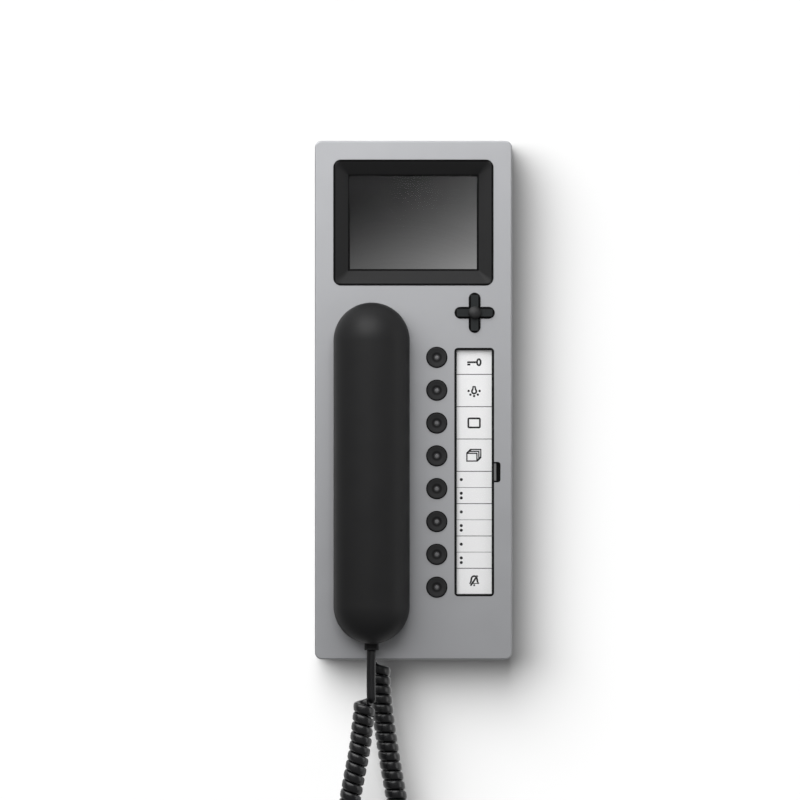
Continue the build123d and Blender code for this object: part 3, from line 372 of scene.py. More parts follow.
def joined(tree, operation, first, second):
    """One sum of two values, each an output or a number."""
    step = tree.nodes.new("ShaderNodeMath")
    step.operation = operation
    for socket, value in zip(step.inputs, (first, second)):
        if isinstance(value, (int, float)):
            socket.default_value = value
        else:
            tree.links.new(value, socket)
    return step.outputs[0]


def inside(tree, low, high):
    """One within a box of the station, given by two corners in metres, and nothing outside."""
    place = tree.nodes.new("ShaderNodeTexCoord")
    steps = []
    for operation, amounts in (
        ("SUBTRACT", [(a + b) / 2 for a, b in zip(low, high)]),
        ("DIVIDE", [(b - a) / 2 for a, b in zip(low, high)]),
        ("ABSOLUTE", None),
    ):
        step = tree.nodes.new("ShaderNodeVectorMath")
        step.operation = operation
        if amounts:
            step.inputs[1].default_value = amounts
        steps.append(step)
    parts = tree.nodes.new("ShaderNodeSeparateXYZ")
    tree.links.new(place.outputs["Object"], steps[0].inputs[0])
    tree.links.new(steps[0].outputs[0], steps[1].inputs[0])
    tree.links.new(steps[1].outputs[0], steps[2].inputs[0])
    tree.links.new(steps[2].outputs[0], parts.inputs[0])
    furthest = joined(tree, "MAXIMUM", parts.outputs["X"], parts.outputs["Y"])
    furthest = joined(tree, "MAXIMUM", furthest, parts.outputs["Z"])
    return joined(tree, "LESS_THAN", furthest, 1.0)


def outside(tree, region):
    """One where the region is nothing, and nothing within it."""
    return joined(tree, "SUBTRACT", 1.0, region)


def bare(finish, region, color):
    """In the region the finish gives way to a plain colour that isn't metallic."""
    tree = finish.node_tree
    shader = tree.nodes["Principled BSDF"]
    under = tree.nodes.new("ShaderNodeMix")
    under.data_type = "RGBA"
    under.inputs["B"].default_value = (*color, 1)
    tree.links.new(shader.inputs["Base Color"].links[0].from_socket, under.inputs["A"])
    tree.links.new(region, under.inputs["Factor"])
    tree.links.new(under.outputs["Result"], shader.inputs["Base Color"])
    metal = shader.inputs["Metallic"].default_value
    if metal:
        kept = joined(tree, "MULTIPLY", outside(tree, region), metal)
        tree.links.new(kept, shader.inputs["Metallic"])


shell_low, shell_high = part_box("front_shell")
key_side, display_side = 0.002, 0.056
wall_inset, skin, shaded_rim_width = 0.002, 0.0001, 0.0004
tree = lacquer.node_tree
behind_display = inside(
    tree,
    (shell_low.x + wall_inset, shell_low.y + skin, display_side),
    (shell_high.x - wall_inset, shell_high.y - skin, shell_high.z - wall_inset),
)
behind_keys = inside(
    tree,
    (key_side, shell_low.y + skin, shell_low.z + wall_inset),
    (shell_high.x - wall_inset, shell_high.y - skin, display_side),
)
front_face = inside(
    tree,
    (shell_low.x + shaded_rim_width, -1, shell_low.z + shaded_rim_width),
    (shell_high.x - shaded_rim_width, 1, shell_high.z - shaded_rim_width),
)
# Painted shade: the sides and the outer rim of the face are a darker grey that isn't metallic.
bare(lacquer, outside(tree, front_face), shaded_side_silver)
# Painted shade: the walls of the display, key and label openings are black, for the shadow in
# the gaps.
bare(lacquer, joined(tree, "MAXIMUM", behind_display, behind_keys), gap_shade_black)
finish_with(lacquer, "front_shell")


# Screws: zinc-plated steel, self-tapping in the plastic, one from below for the shell and
# the others for the display, both boards, the terminals and the handset.
zinc_tone = (0.6, 0.61, 0.63)
zinc = grained("zinc_plate", zinc_tone, 0.33, 0.0003, 0.00001, tint=0.08, metallic=1.0)
finish_with(
    zinc,
    "shell_screw",
    "display_screws",
    "board_screws",
    "terminal_screws",
    "handset_screws",
)


# Display: a black sloped frame of moulded plastic round a clear pane, in front of the LCD
# in its folded steel tray, which four screws hold on bosses of the shell.
frame_black = grained(
    "frame_black", (0.022, 0.022, 0.0225), 0.5, 0.00035, 0.000015, shine=0.08
)
bezel_width, bezel_height, bezel_z = 0.0826, 0.0649, 0.0919
screen_width, screen_height = 0.0669, 0.0491
# Painted shade: the frame's outer edge and the edge of its opening are each painted as a thin
# dark line, for the shadow in the gaps there.
line_out, line_in = 0.0009, 0.0004
bezel_shade_black = (0.001, 0.001, 0.001)
tree = frame_black.node_tree
slopes = inside(
    tree,
    (line_out - bezel_width / 2, -1, bezel_z + line_out - bezel_height / 2),
    (bezel_width / 2 - line_out, 1, bezel_z - line_out + bezel_height / 2),
)
opening = inside(
    tree,
    (-line_in - screen_width / 2, -1, bezel_z - line_in - screen_height / 2),
    (line_in + screen_width / 2, 1, bezel_z + line_in + screen_height / 2),
)
bezel_shade_lines = joined(tree, "ADD", outside(tree, slopes), opening)
bare(frame_black, bezel_shade_lines, bezel_shade_black)
finish_with(frame_black, "display_bezel")
tray_tone = (0.52, 0.53, 0.54)
tray_steel = grained("tray_steel", tray_tone, 0.38, 0.0004, 0.00001, tint=0.05, metallic=1.0)
finish_with(tray_steel, "lcd_frame")


def plain(name, color, roughness, shine=0.5, alpha=1.0):
    """A smooth finish of one colour, which a pattern may be laid over."""
    finish = bpy.data.materials.new(name)
    finish.use_nodes = True
    shader = finish.node_tree.nodes["Principled BSDF"]
    shader.inputs["Base Color"].default_value = (*color, 1)
    shader.inputs["Roughness"].default_value = roughness
    shader.inputs["Specular IOR Level"].default_value = shine
    shader.inputs["Alpha"].default_value = alpha
    return finish


pane = plain("clear_pane", (0.02, 0.02, 0.022), 0.06, shine=0.25, alpha=0.16)
finish_with(pane, "display_window")

panel = plain("painted_screen_reflection", (0.002, 0.002, 0.002), 0.3, shine=0.1)
# Painted reflection: the screen glows in a slope of grey, darkest at its upper left, as if
# mirroring a room.
screen_dark, screen_light, screen_gamma = 0.02, 0.58, 2.2
slope_x, slope_z = 0.43 / screen_width, -0.57 / screen_height
screen_border = 0.0006
screen_low, screen_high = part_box("lcd_panel")
screen_middle = (screen_low + screen_high) / 2
middle_value = slope_x * screen_middle.x + slope_z * screen_middle.z
half_mirrored_width = screen_width / 2 - screen_border
half_mirrored_height = screen_height / 2 - screen_border
tree = panel.node_tree
shader = tree.nodes["Principled BSDF"]
place = tree.nodes.new("ShaderNodeTexCoord")
slope = tree.nodes.new("ShaderNodeVectorMath")
slope.operation = "DOT_PRODUCT"
slope.inputs[1].default_value = (slope_x, 0, slope_z)
level = tree.nodes.new("ShaderNodeMapRange")
level.inputs["From Min"].default_value = middle_value - 0.5
level.inputs["From Max"].default_value = middle_value + 0.5
level.inputs["To Min"].default_value = screen_dark
level.inputs["To Max"].default_value = screen_light
tree.links.new(place.outputs["Object"], slope.inputs[0])
tree.links.new(slope.outputs["Value"], level.inputs["Value"])
reflection_tone = joined(tree, "POWER", level.outputs["Result"], screen_gamma)
mirrored_area = inside(
    tree,
    (screen_middle.x - half_mirrored_width, screen_low.y - 1, screen_middle.z - half_mirrored_height),
    (screen_middle.x + half_mirrored_width, screen_high.y + 1, screen_middle.z + half_mirrored_height),
)
shader.inputs["Emission Color"].default_value = (1.0, 1.0, 1.0, 1)
tree.links.new(joined(tree, "MULTIPLY", reflection_tone, mirrored_area), shader.inputs["Emission Strength"])
finish_with(panel, "lcd_panel")


# Boards: glass-fibre boards with green solder mask over copper tracks. The main board is
# behind the display, the key board behind the keys, and a ribbon cable joins them.
track_scale, field_scale = 330.0, 110.0
hole_scale, hole_scatter, hole_size = 240.0, 0.55, 0.13
track_height, track_strength = 0.00004, 0.5
mask_green, track_green, tin = (0.010, 0.075, 0.032), (0.022, 0.145, 0.06), (0.5, 0.5, 0.48)
mask = plain("solder_mask", mask_green, 0.32)
tree = mask.node_tree
shader = tree.nodes["Principled BSDF"]
place = tree.nodes.new("ShaderNodeTexCoord")
buses = []
for direction in ("X", "Z"):
    bus = tree.nodes.new("ShaderNodeTexWave")
    bus.bands_direction = direction
    bus.inputs["Scale"].default_value = track_scale
    bus.inputs["Distortion"].default_value = 0.0
    buses.append(bus)
fields = tree.nodes.new("ShaderNodeTexChecker")
fields.inputs["Scale"].default_value = field_scale
fields.inputs["Color1"].default_value = (0, 0, 0, 1)
fields.inputs["Color2"].default_value = (1, 1, 1, 1)
routed = tree.nodes.new("ShaderNodeMix")
routed.data_type = "RGBA"
holes = tree.nodes.new("ShaderNodeTexVoronoi")
holes.inputs["Scale"].default_value = hole_scale
holes.inputs["Randomness"].default_value = hole_scatter
for texture in (*buses, fields, holes):
    tree.links.new(place.outputs["Object"], texture.inputs["Vector"])
tree.links.new(fields.outputs["Fac"], routed.inputs["Factor"])
for bus, side in zip(buses, ("A", "B")):
    tree.links.new(bus.outputs["Color"], routed.inputs[side])
copper = tree.nodes.new("ShaderNodeValToRGB")
for stop, position, color in zip(
    copper.color_ramp.elements, (0.62, 0.72), (mask_green, track_green)
):
    stop.position = position
    stop.color = (*color, 1)
tree.links.new(routed.outputs["Result"], copper.inputs["Fac"])
tinned = tree.nodes.new("ShaderNodeMix")
tinned.data_type = "RGBA"
tinned.inputs["B"].default_value = (*tin, 1)
plated = joined(tree, "LESS_THAN", holes.outputs["Distance"], hole_size)
tree.links.new(plated, tinned.inputs["Factor"])
tree.links.new(copper.outputs["Color"], tinned.inputs["A"])
tree.links.new(tinned.outputs["Result"], shader.inputs["Base Color"])
bump = tree.nodes.new("ShaderNodeBump")
bump.inputs["Distance"].default_value = track_height
bump.inputs["Strength"].default_value = track_strength
tree.links.new(routed.outputs["Result"], bump.inputs["Height"])
tree.links.new(bump.outputs["Normal"], shader.inputs["Normal"])
finish_with(mask, "main_pcb", "key_pcb")
epoxy = grained("chip_epoxy", (0.014, 0.014, 0.015), 0.55, 0.0002, 0.00001)
finish_with(epoxy, "chips")
sleeve = grained("can_sleeve", (0.035, 0.04, 0.09), 0.3, 0.0008, 0.000006)
finish_with(sleeve, "capacitors")
terminal_body = grained("terminal_body", (0.3, 0.31, 0.32), 0.45, 0.0005, 0.00001)
finish_with(terminal_body, "terminal_block")
diode = grained("diode_resin", (0.7, 0.66, 0.5), 0.25, 0.0004, 0.000004)
finish_with(diode, "key_leds")
ribbon = grained("ribbon_film", (0.55, 0.52, 0.42), 0.4, 0.0008, 0.00001)
finish_with(ribbon, "flat_cable")


# Key mat: one moulding of grey silicone rubber that lies on the key board. It has a hollow
# dome under each key, a pad under each arm of the cross and one in a well under the cross's
# button.
silicone = grained("silicone_mat", (0.24, 0.245, 0.25), 0.62, 0.0007, 0.00001)
shader = silicone.node_tree.nodes["Principled BSDF"]
shader.inputs["Subsurface Weight"].default_value = 0.1
shader.inputs["Subsurface Scale"].default_value = 0.001
finish_with(silicone, "key_mat")
key_numbers = range(1, 9)
mat_low, mat_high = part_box("key_mat")
cross_low, cross_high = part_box("nav_cross")
cross_x, cross_z = (cross_low.x + cross_high.x) / 2, (cross_low.z + cross_high.z) / 2
sheet_thickness = 0.001
sheet_front = mat_high.y - sheet_thickness
dome_foot, dome_head, dome_wall = 0.0046, 0.0028, 0.0007
pad_radius, pad_ring, pad_gap = 0.0014, 0.0052, 0.0001
well_radius = 0.0030
mould_edge, smooth_angle = 0.0002, math.radians(40)


def round_bar(name, foot, head, near, far, x, z):
    """A bar from near to far of the board, round, with a radius at its foot and its head."""
    bpy.ops.mesh.primitive_cone_add(
        vertices=64,
        radius1=foot,
        radius2=head,
        depth=near - far,
        location=(x, (near + far) / 2, z),
        rotation=(math.radians(90), 0, 0),
    )
    bar = bpy.context.object
    bar.name = name
    bpy.ops.object.transform_apply(location=True, rotation=True, scale=True)
    bar.select_set(False)
    return bar


def moulded(piece, hollows=()):
    """The piece is hollowed out, gets rounded edges and stands for the mat."""
    bpy.context.view_layer.objects.active = piece
    for hollow in hollows:
        cut = piece.modifiers.new("hollow", "BOOLEAN")
        cut.operation = "DIFFERENCE"
        cut.object = hollow
        bpy.ops.object.modifier_apply(modifier=cut.name)
    edge = piece.modifiers.new("edge", "BEVEL")
    edge.width = mould_edge
    edge.segments = 3
    edge.limit_method = "ANGLE"
    bpy.ops.object.modifier_apply(modifier=edge.name)
    piece.select_set(True)
    bpy.ops.object.shade_smooth_by_angle(angle=smooth_angle)
    piece.select_set(False)
    piece.data.materials.append(silicone)
    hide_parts("key_mat")


hollows = []
for number in key_numbers:
    low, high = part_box(f"key_{number}")
    x, z = (low.x + high.x) / 2, (low.z + high.z) / 2
    inner_head = mat_low.y + dome_wall
    hollow = round_bar(
        f"hollow_{number}",
        dome_foot - dome_wall,
        dome_head - dome_wall,
        mat_high.y + pad_gap,
        inner_head,
        x,
        z,
    )
    dome = round_bar(f"key_dome_{number}", dome_foot, dome_head, sheet_front, mat_low.y, x, z)
    moulded(dome, [hollow])
    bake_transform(dome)
    hollows.append(hollow)
bpy.ops.mesh.primitive_cube_add(
    size=1,
    location=(
        (mat_low.x + mat_high.x) / 2,
        (sheet_front + mat_high.y) / 2,
        (mat_low.z + mat_high.z) / 2,
    ),
    scale=(mat_high.x - mat_low.x, sheet_thickness, mat_high.z - mat_low.z),
)
sheet = bpy.context.object
sheet.name = "mat_sheet"
bpy.ops.object.transform_apply(location=True, rotation=True, scale=True)
sheet.select_set(False)
well = round_bar(
    "hollow_middle",
    well_radius,
    well_radius,
    mat_high.y + pad_gap,
    sheet_front - pad_gap,
    cross_x,
    cross_z,
)
hollows.append(well)
moulded(sheet, hollows)
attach(sheet, "housing")
for hollow in hollows:
    bpy.data.objects.remove(hollow)
button_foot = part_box("nav_centre")[1].y
for name, side, rise, start, foot, joint, keep in (
    ("left", -1, 0, sheet_front, cross_high.y, "cross_left_right", 0.65),
    ("right", 1, 0, sheet_front, cross_high.y, "cross_left_right", 0.65),
    ("lower", 0, -1, sheet_front, cross_high.y, "cross_up_down", 0.65),
    ("upper", 0, 1, sheet_front, cross_high.y, "cross_up_down", 0.65),
    ("middle", 0, 0, mat_high.y, button_foot, "centre_press", 0.45),
):
    pad = round_bar(
        f"cross_pad_{name}",
        pad_radius,
        pad_radius,
        start,
        foot + pad_gap,
        cross_x + side * pad_ring,
        cross_z + rise * pad_ring,
    )
    moulded(pad)
    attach(pad, "housing")
    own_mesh(pad)


# Keys: eight round caps moulded of black plastic, dished for the finger, each with a small
# light pin of clear resin pressed into its middle. The lamps on the key board shine into it.
cap_black = grained("cap_black", (0.032, 0.032, 0.033), 0.62, 0.0003, 0.00002, shine=0.06)
pin_clear = grained("pin_resin", (0.15, 0.15, 0.155), 0.3, 0.0004, 0.000004)


def ringed(finish, x, z, pitch, radius, tones):
    """The finish's tone changes in rings round a middle that comes again at each pitch in z."""
    tree = finish.node_tree
    shader = tree.nodes["Principled BSDF"]
    place = tree.nodes.new("ShaderNodeTexCoord")
    parts = tree.nodes.new("ShaderNodeSeparateXYZ")
    tree.links.new(place.outputs["Object"], parts.inputs[0])
    across = joined(tree, "SUBTRACT", parts.outputs["X"], x)
    wrapped = tree.nodes.new("ShaderNodeMath")
    wrapped.operation = "WRAP"
    tree.links.new(parts.outputs["Z"], wrapped.inputs[0])
    wrapped.inputs[1].default_value = z + pitch / 2
    wrapped.inputs[2].default_value = z - pitch / 2
    upward = joined(tree, "SUBTRACT", wrapped.outputs[0], z)
    squares = joined(
        tree,
        "ADD",
        joined(tree, "MULTIPLY", across, across),
        joined(tree, "MULTIPLY", upward, upward),
    )
    share = joined(tree, "DIVIDE", joined(tree, "POWER", squares, 0.5), radius)
    ramp = tree.nodes.new("ShaderNodeValToRGB")
    tree.links.new(share, ramp.inputs["Fac"])
    stops = ramp.color_ramp.elements
    for index, (stop, tone) in enumerate(tones):
        element = stops[index] if index < 2 else stops.new(stop)
        element.position = stop
        element.color = (tone, tone, tone, 1)
    darker = tree.nodes.new("ShaderNodeMix")
    darker.data_type = "RGBA"
    darker.blend_type = "MULTIPLY"
    darker.inputs["Factor"].default_value = 1
    tree.links.new(shader.inputs["Base Color"].links[0].from_socket, darker.inputs["A"])
    tree.links.new(ramp.outputs["Color"], darker.inputs["B"])
    tree.links.new(darker.outputs["Result"], shader.inputs["Base Color"])


first_key = sum(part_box("key_1"), Vector()) / 2
last_key = sum(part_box("key_8"), Vector()) / 2
key_radius = (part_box("key_1")[1].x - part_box("key_1")[0].x) / 2
key_pitch = (first_key.z - last_key.z) / (len(key_numbers) - 1)
# Painted light and shade in rings on each cap: a painted highlight round the pin, a painted
# shade ring in the dish, and a black rim painted as the shadow in the gap round the key.
cap_light_and_shade = (
    (0.0, 1.8),
    (0.22, 1.8),
    (0.26, 0.3),
    (0.36, 0.45),
    (0.48, 1.0),
    (0.78, 0.9),
    (0.82, 0.02),
)
ringed(cap_black, first_key.x, last_key.z, key_pitch, key_radius, cap_light_and_shade)
finish_with(cap_black, *[f"key_{number}" for number in key_numbers])
finish_with(pin_clear, *[f"key_{number}_lens" for number in key_numbers])


# Cross key: a four-armed rocker of black plastic that tilts in a round bushing, with a
# domed push button in its middle.
cross_black = grained("cross_black", (0.023, 0.025, 0.0255), 0.62, 0.0003, 0.00002, shine=0.06)
arm_width, shaded_arm_rim = 0.0054, 0.0008
arm_reach = (cross_high.x - cross_low.x) / 2 - shaded_arm_rim
arm_half = arm_width / 2 - shaded_arm_rim
tree = cross_black.node_tree
level_arm = inside(
    tree,
    (cross_x - arm_reach, cross_low.y - 1, cross_z - arm_half),
    (cross_x + arm_reach, cross_high.y + 1, cross_z + arm_half),
)
upright_arm = inside(
    tree,
    (cross_x - arm_half, cross_low.y - 1, cross_z - arm_reach),
    (cross_x + arm_half, cross_high.y + 1, cross_z + arm_reach),
)
arms = joined(tree, "MAXIMUM", level_arm, upright_arm)
# Painted shade: round the tops of its arms the cross is painted near black, for the shadow in
# the gap round it.
bare(cross_black, outside(tree, arms), (0.002, 0.002, 0.002))
finish_with(cross_black, "nav_cross")
dome_black = grained("dome_black", (0.021, 0.021, 0.0215), 0.5, 0.0003, 0.00001, shine=0.3)
dome_radius = (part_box("nav_centre")[1].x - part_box("nav_centre")[0].x) / 2
# Painted light and shade: the dome is a little lighter in its middle and darkens to a
# near-black ring at its foot, for the shadow round it.
dome_light_and_shade = ((0.0, 1.1), (0.5, 1.0), (0.78, 0.5), (0.88, 0.05))
ringed(dome_black, cross_x, cross_z, 4 * dome_radius, dome_radius, dome_light_and_shade)
finish_with(dome_black, "nav_centre")
acetal = grained("acetal", (0.1, 0.1, 0.105), 0.4, 0.0005, 0.00001)
finish_with(acetal, "nav_bushing")


# Label: a printed card on a black tray, under a clear cover in a thin black frame, which
# opens on a film hinge at its left edge. Its marks are plain pictograms, printed in black.
label_black, frame_with_highlight = [
    grained(name, (0.004, 0.004, 0.0042), 0.6, 0.00035, 0.00001, shine=0.12)
    for name in ("label_black", "frame_with_highlight")
]
finish_with(label_black, "label_tray")
rim_low, rim_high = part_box("label_frame")
# Painted highlight: a strip along the frame's right edge, at its lip, is painted grey as if it
# caught the light.
lip_highlight_width = 0.00115
lip_highlight = inside(
    frame_with_highlight.node_tree,
    (rim_high.x - lip_highlight_width, rim_low.y - 1, rim_low.z),
    (rim_high.x + 1, rim_high.y + 1, rim_high.z),
)
bare(frame_with_highlight, lip_highlight, (0.16, 0.16, 0.163))
finish_with(frame_with_highlight, "label_frame")
card = grained("printed_card", (0.9, 0.9, 0.905), 0.7, 0.0003, 0.000006, tint=0.008)
finish_with(card, "label_card")
cover = plain("clear_cover", (0.5, 0.5, 0.5), 0.12, alpha=0.03)
finish_with(cover, "label_window")

card_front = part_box("label_card")[0].y
print_height = 0.00003
stroke_wide = 0.00094
stroke_line = 0.00038
stroke_thin = 0.00024
marks = bpy.data.curves.new("label_print", "CURVE")
marks.dimensions = "3D"
marks.bevel_depth = 0.001
marks.bevel_resolution = 2
marks.use_fill_caps = True


def stroke(points, width=stroke_wide, closed=False):
    """One printed stroke through points of the card, in millimetres across and up."""
    line = marks.splines.new("POLY")
    line.points.add(len(points) - 1)
    for point, (x, z) in zip(line.points, points):
        point.co = (x / 1000, 0, z / 1000, 1)
        point.radius = width / 2 / marks.bevel_depth
    line.use_cyclic_u = closed


def arc(x, z, across, up, start=0, end=360, steps=24):
    """Points of the card on an arc round x and z, from one angle in degrees to another."""
    return [
        (
            x + across * math.cos(math.radians(start + (end - start) * n / steps)),
            z + up * math.sin(math.radians(start + (end - start) * n / steps)),
        )
        for n in range(steps + 1)
    ]


def dot(x, z, radius):
    """A printed dot: a round stroke that closes over its own middle."""
    middle = radius * 0.45
    stroke(arc(x, z, middle, middle, 0, 345, 23), radius * 1.1 / 1000, closed=True)


card_left, card_right = 22.45, 40.55
first_line, row_height = 13.3, 16.74
dots_x, dot_radius = 24.8, 0.8
ray_radius = 0.62
separators = [first_line - row_height * row for row in range(7)]
for z in separators:
    stroke([(card_left, z), (card_right, z)], stroke_line)
for row in (3, 4, 5):
    z = (separators[row] + separators[row + 1]) / 2
    stroke([(card_left, z), (card_right, z)], stroke_thin)
    for dot_z in (z + 4.1, z - 3.0, z - 5.4):
        dot(dots_x, dot_z, dot_radius)

# A door key, with its bow on the right.
stroke(arc(33.9, 19.6, 0.95, 1.6)[:-1], closed=True)
stroke([(32.95, 19.6), (27.9, 19.6)])
stroke([(27.9, 18.4), (29.5, 18.4)])

# A bulb that hangs from its cap, with five dots of light.
bulb = arc(31.45, 4.5, 1.15, 1.15, 130, 410)
stroke([(30.95, 6.9), *bulb, (31.95, 6.9)], closed=True)
for x, z in ((28.6, 4.7), (34.3, 4.7), (29.55, 2.8), (33.35, 2.8), (31.45, 2.1)):
    dot(x, z, ray_radius)

# A plain frame with rounded corners.
stroke(
    arc(28.95, -10.0, 0.5, 0.5, 180, 90, 5)
    + arc(33.95, -10.0, 0.5, 0.5, 90, 0, 5)
    + arc(33.95, -13.7, 0.5, 0.5, 0, -90, 5)
    + arc(28.95, -13.7, 0.5, 0.5, 270, 180, 5),
    closed=True,
)

# Three frames in a stack, one behind the other.
stroke([(27.7, -27.6), (32.9, -27.6), (32.9, -31.6), (27.7, -31.6)], closed=True)
stroke([(27.7, -27.6), (29.7, -25.6)])
stroke([(32.9, -31.6), (34.9, -29.6)])
for step in (1.0, 2.0):
    stroke(
        [
            (27.7 + step, -27.6 + step - 0.5),
            (27.7 + step, -27.6 + step),
            (32.9 + step, -27.6 + step),
            (32.9 + step, -31.6 + step),
            (32.9 + step - 0.5, -31.6 + step),
        ]
    )

# A bell with its clapper, crossed out.
stroke(
    [(29.3, -95.0), (29.8, -94.2)]
    + arc(31.5, -92.9, 1.5, 1.7, 170, 10, 12)
    + [(33.2, -94.2), (33.7, -95.0)],
    closed=True,
)
stroke([(31.1, -95.9), (31.9, -95.9)])
stroke([(29.6, -96.2), (33.2, -90.9)])

label_print = bpy.data.objects.new("label_print", marks)
bpy.context.scene.collection.objects.link(label_print)
label_print.select_set(True)
bpy.context.view_layer.objects.active = label_print
bpy.ops.object.convert(target="MESH")
label_print.scale = (1, print_height / stroke_wide * 2, 1)
label_print.location = (0, card_front, 0)
bpy.ops.object.transform_apply(location=True, rotation=True, scale=True)
bpy.ops.object.mode_set(mode="EDIT")
bpy.ops.mesh.select_all(action="SELECT")
bpy.ops.mesh.normals_make_consistent(inside=False)
bpy.ops.object.mode_set(mode="OBJECT")
bpy.ops.object.select_all(action="DESELECT")
ink = grained("card_ink", (0.008, 0.008, 0.009), 0.6, 0.0003, 0.000004, shine=0.1)
label_print.data.materials.append(ink)
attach(label_print, "housing")


# Loudspeaker: the ringer, a pressed steel basket with a paper cone and a magnet. It is held
# on a foam ring behind the slots of the shell.
basket = grained("basket_steel", (0.3, 0.3, 0.31), 0.45, 0.0006, 0.00001, metallic=0.8)
finish_with(basket, "loudspeaker")


# Foam rings: die-cut from a soft open-cell sheet, with a sticky back. One seals the
# loudspeaker to the shell, the other seals the ear capsule to the handset's rear shell.
foam = grained("open_cell_foam", (0.03, 0.03, 0.032), 0.9, 0.0007, 0.0002, tint=0.3)
foam_width = 0.003
foam_inset = 0.00006
foam_edge = 0.00028
flat_enough = 0.9


def pick(piece, chosen):
    """Only the faces that the rule takes are selected, in edit mode."""
    bpy.ops.object.mode_set(mode="EDIT")
    bpy.ops.mesh.select_mode(type="FACE")
    bpy.ops.mesh.select_all(action="DESELECT")
    bpy.ops.object.mode_set(mode="OBJECT")
    for face in piece.data.polygons:
        face.select = chosen(face)
    bpy.ops.object.mode_set(mode="EDIT")


for name, node, body in (
    ("speaker_foam", "speaker_gasket", "housing"),
    ("ear_foam", "receiver_foam", "handset"),
):
    low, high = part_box(node)
    bpy.ops.mesh.primitive_cylinder_add(
        vertices=96,
        radius=(high.x - low.x) / 2 - foam_inset,
        depth=high.y - low.y - foam_inset,
        location=(low + high) / 2,
        rotation=(math.radians(90), 0, 0),
    )
    ring = bpy.context.object
    ring.name = name
    bpy.ops.object.transform_apply(location=True, rotation=True, scale=True)
    pick(ring, lambda face: abs(face.normal.y) > flat_enough)
    bpy.ops.mesh.inset(thickness=foam_width)
    bpy.ops.mesh.bridge_edge_loops()
    bpy.ops.mesh.select_all(action="SELECT")
    bpy.ops.mesh.normals_make_consistent(inside=False)
    bpy.ops.object.mode_set(mode="OBJECT")
    edge = ring.modifiers.new("cut_edge", "BEVEL")
    edge.width = foam_edge
    edge.segments = 3
    edge.limit_method = "ANGLE"
    bpy.ops.object.modifier_apply(modifier=edge.name)
    finer = ring.modifiers.new("cells", "SUBSURF")
    finer.levels = finer.render_levels = 1
    bpy.ops.object.modifier_apply(modifier=finer.name)
    bpy.ops.object.shade_smooth()
    ring.select_set(False)
    ring.data.materials.append(foam)
    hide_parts(node)
    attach(ring, body)


# Cradle: a switch with a sprung plunger in the lower well, and a steel plate behind the
# upper well that the handset's magnet holds on to.
switch_body = grained("switch_body", (0.32, 0.33, 0.34), 0.45, 0.0005, 0.00001)
finish_with(switch_body, "hook_switch")
plunger_black = grained("plunger_black", (0.012, 0.012, 0.0125), 0.35, 0.0005, 0.00001)
finish_with(plunger_black, "hook_plunger")
steel_tone = (0.5, 0.5, 0.51)
spring_steel = grained(
    "spring_steel", steel_tone, 0.3, 0.0003, 0.000006, tint=0.05, metallic=1.0
)
finish_with(spring_steel, "strike_plate")

spring_wire = 0.0005
spring_turns = 6
closed_turns = 1
steps_per_turn = 32
low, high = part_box("hook_spring")
spring_radius = (high.x - low.x - spring_wire) / 2
spring_x, spring_z = (low.x + high.x) / 2, (low.z + high.z) / 2
spring_start = high.y - spring_wire / 2
spring_rise = high.y - low.y - spring_wire
closed_pitch = 0.00052
open_pitch = (spring_rise - 2 * closed_turns * closed_pitch) / (spring_turns - 2 * closed_turns)
wire = bpy.data.curves.new("cradle_spring", "CURVE")
wire.dimensions = "3D"
wire.bevel_depth = spring_wire / 2
wire.bevel_resolution = 3
wire.use_fill_caps = True
winding = wire.splines.new("POLY")
winding.points.add(spring_turns * steps_per_turn)
for number, point in enumerate(winding.points):
    turns = number / steps_per_turn
    first = min(turns, closed_turns)
    final = max(turns - (spring_turns - closed_turns), 0)
    risen = (first + final) * closed_pitch + (turns - first - final) * open_pitch
    point.co = (
        spring_x + spring_radius * math.cos(turns * 2 * math.pi),
        spring_start - risen,
        spring_z + spring_radius * math.sin(turns * 2 * math.pi),
        1,
    )
cradle_spring = bpy.data.objects.new("cradle_spring", wire)
bpy.context.scene.collection.objects.link(cradle_spring)
cradle_spring.select_set(True)
bpy.context.view_layer.objects.active = cradle_spring
bpy.ops.object.convert(target="MESH")
bpy.ops.object.shade_smooth_by_angle(angle=math.radians(50))
cradle_spring.select_set(False)
cradle_spring.data.materials.append(spring_steel)
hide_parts("hook_spring")
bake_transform(cradle_spring)


# Socket and plug: a moulded jack of black plastic in the shell's underside, soldered to the
# main board, and the cord's modular plug in it, which is black too.
jack_black = grained("jack_black", (0.015, 0.015, 0.016), 0.5, 0.0004, 0.00001)
finish_with(jack_black, "handset_jack", "cord_plug")


# Handset: two half shells of black ABS, screwed together from behind, with a fine satin
# spark-eroded surface. The lower end holds the cord's strain relief.
satin_black = (0.016, 0.016, 0.0165)
handset_black = grained("handset_black", satin_black, 0.46, 0.00035, 0.000012, shine=0.12)
finish_with(handset_black, "handset_front", "handset_back")
gland_black = grained("gland_black", (0.009, 0.009, 0.0095), 0.5, 0.0005, 0.00001, shine=0.3)
finish_with(gland_black, "cord_gland", "microphone_boot")
can_tone = (0.55, 0.55, 0.53)
capsule = grained("capsule_can", can_tone, 0.35, 0.0005, 0.00001, tint=0.05, metallic=0.9)
finish_with(capsule, "receiver_capsule", "microphone_capsule", "handset_magnet")


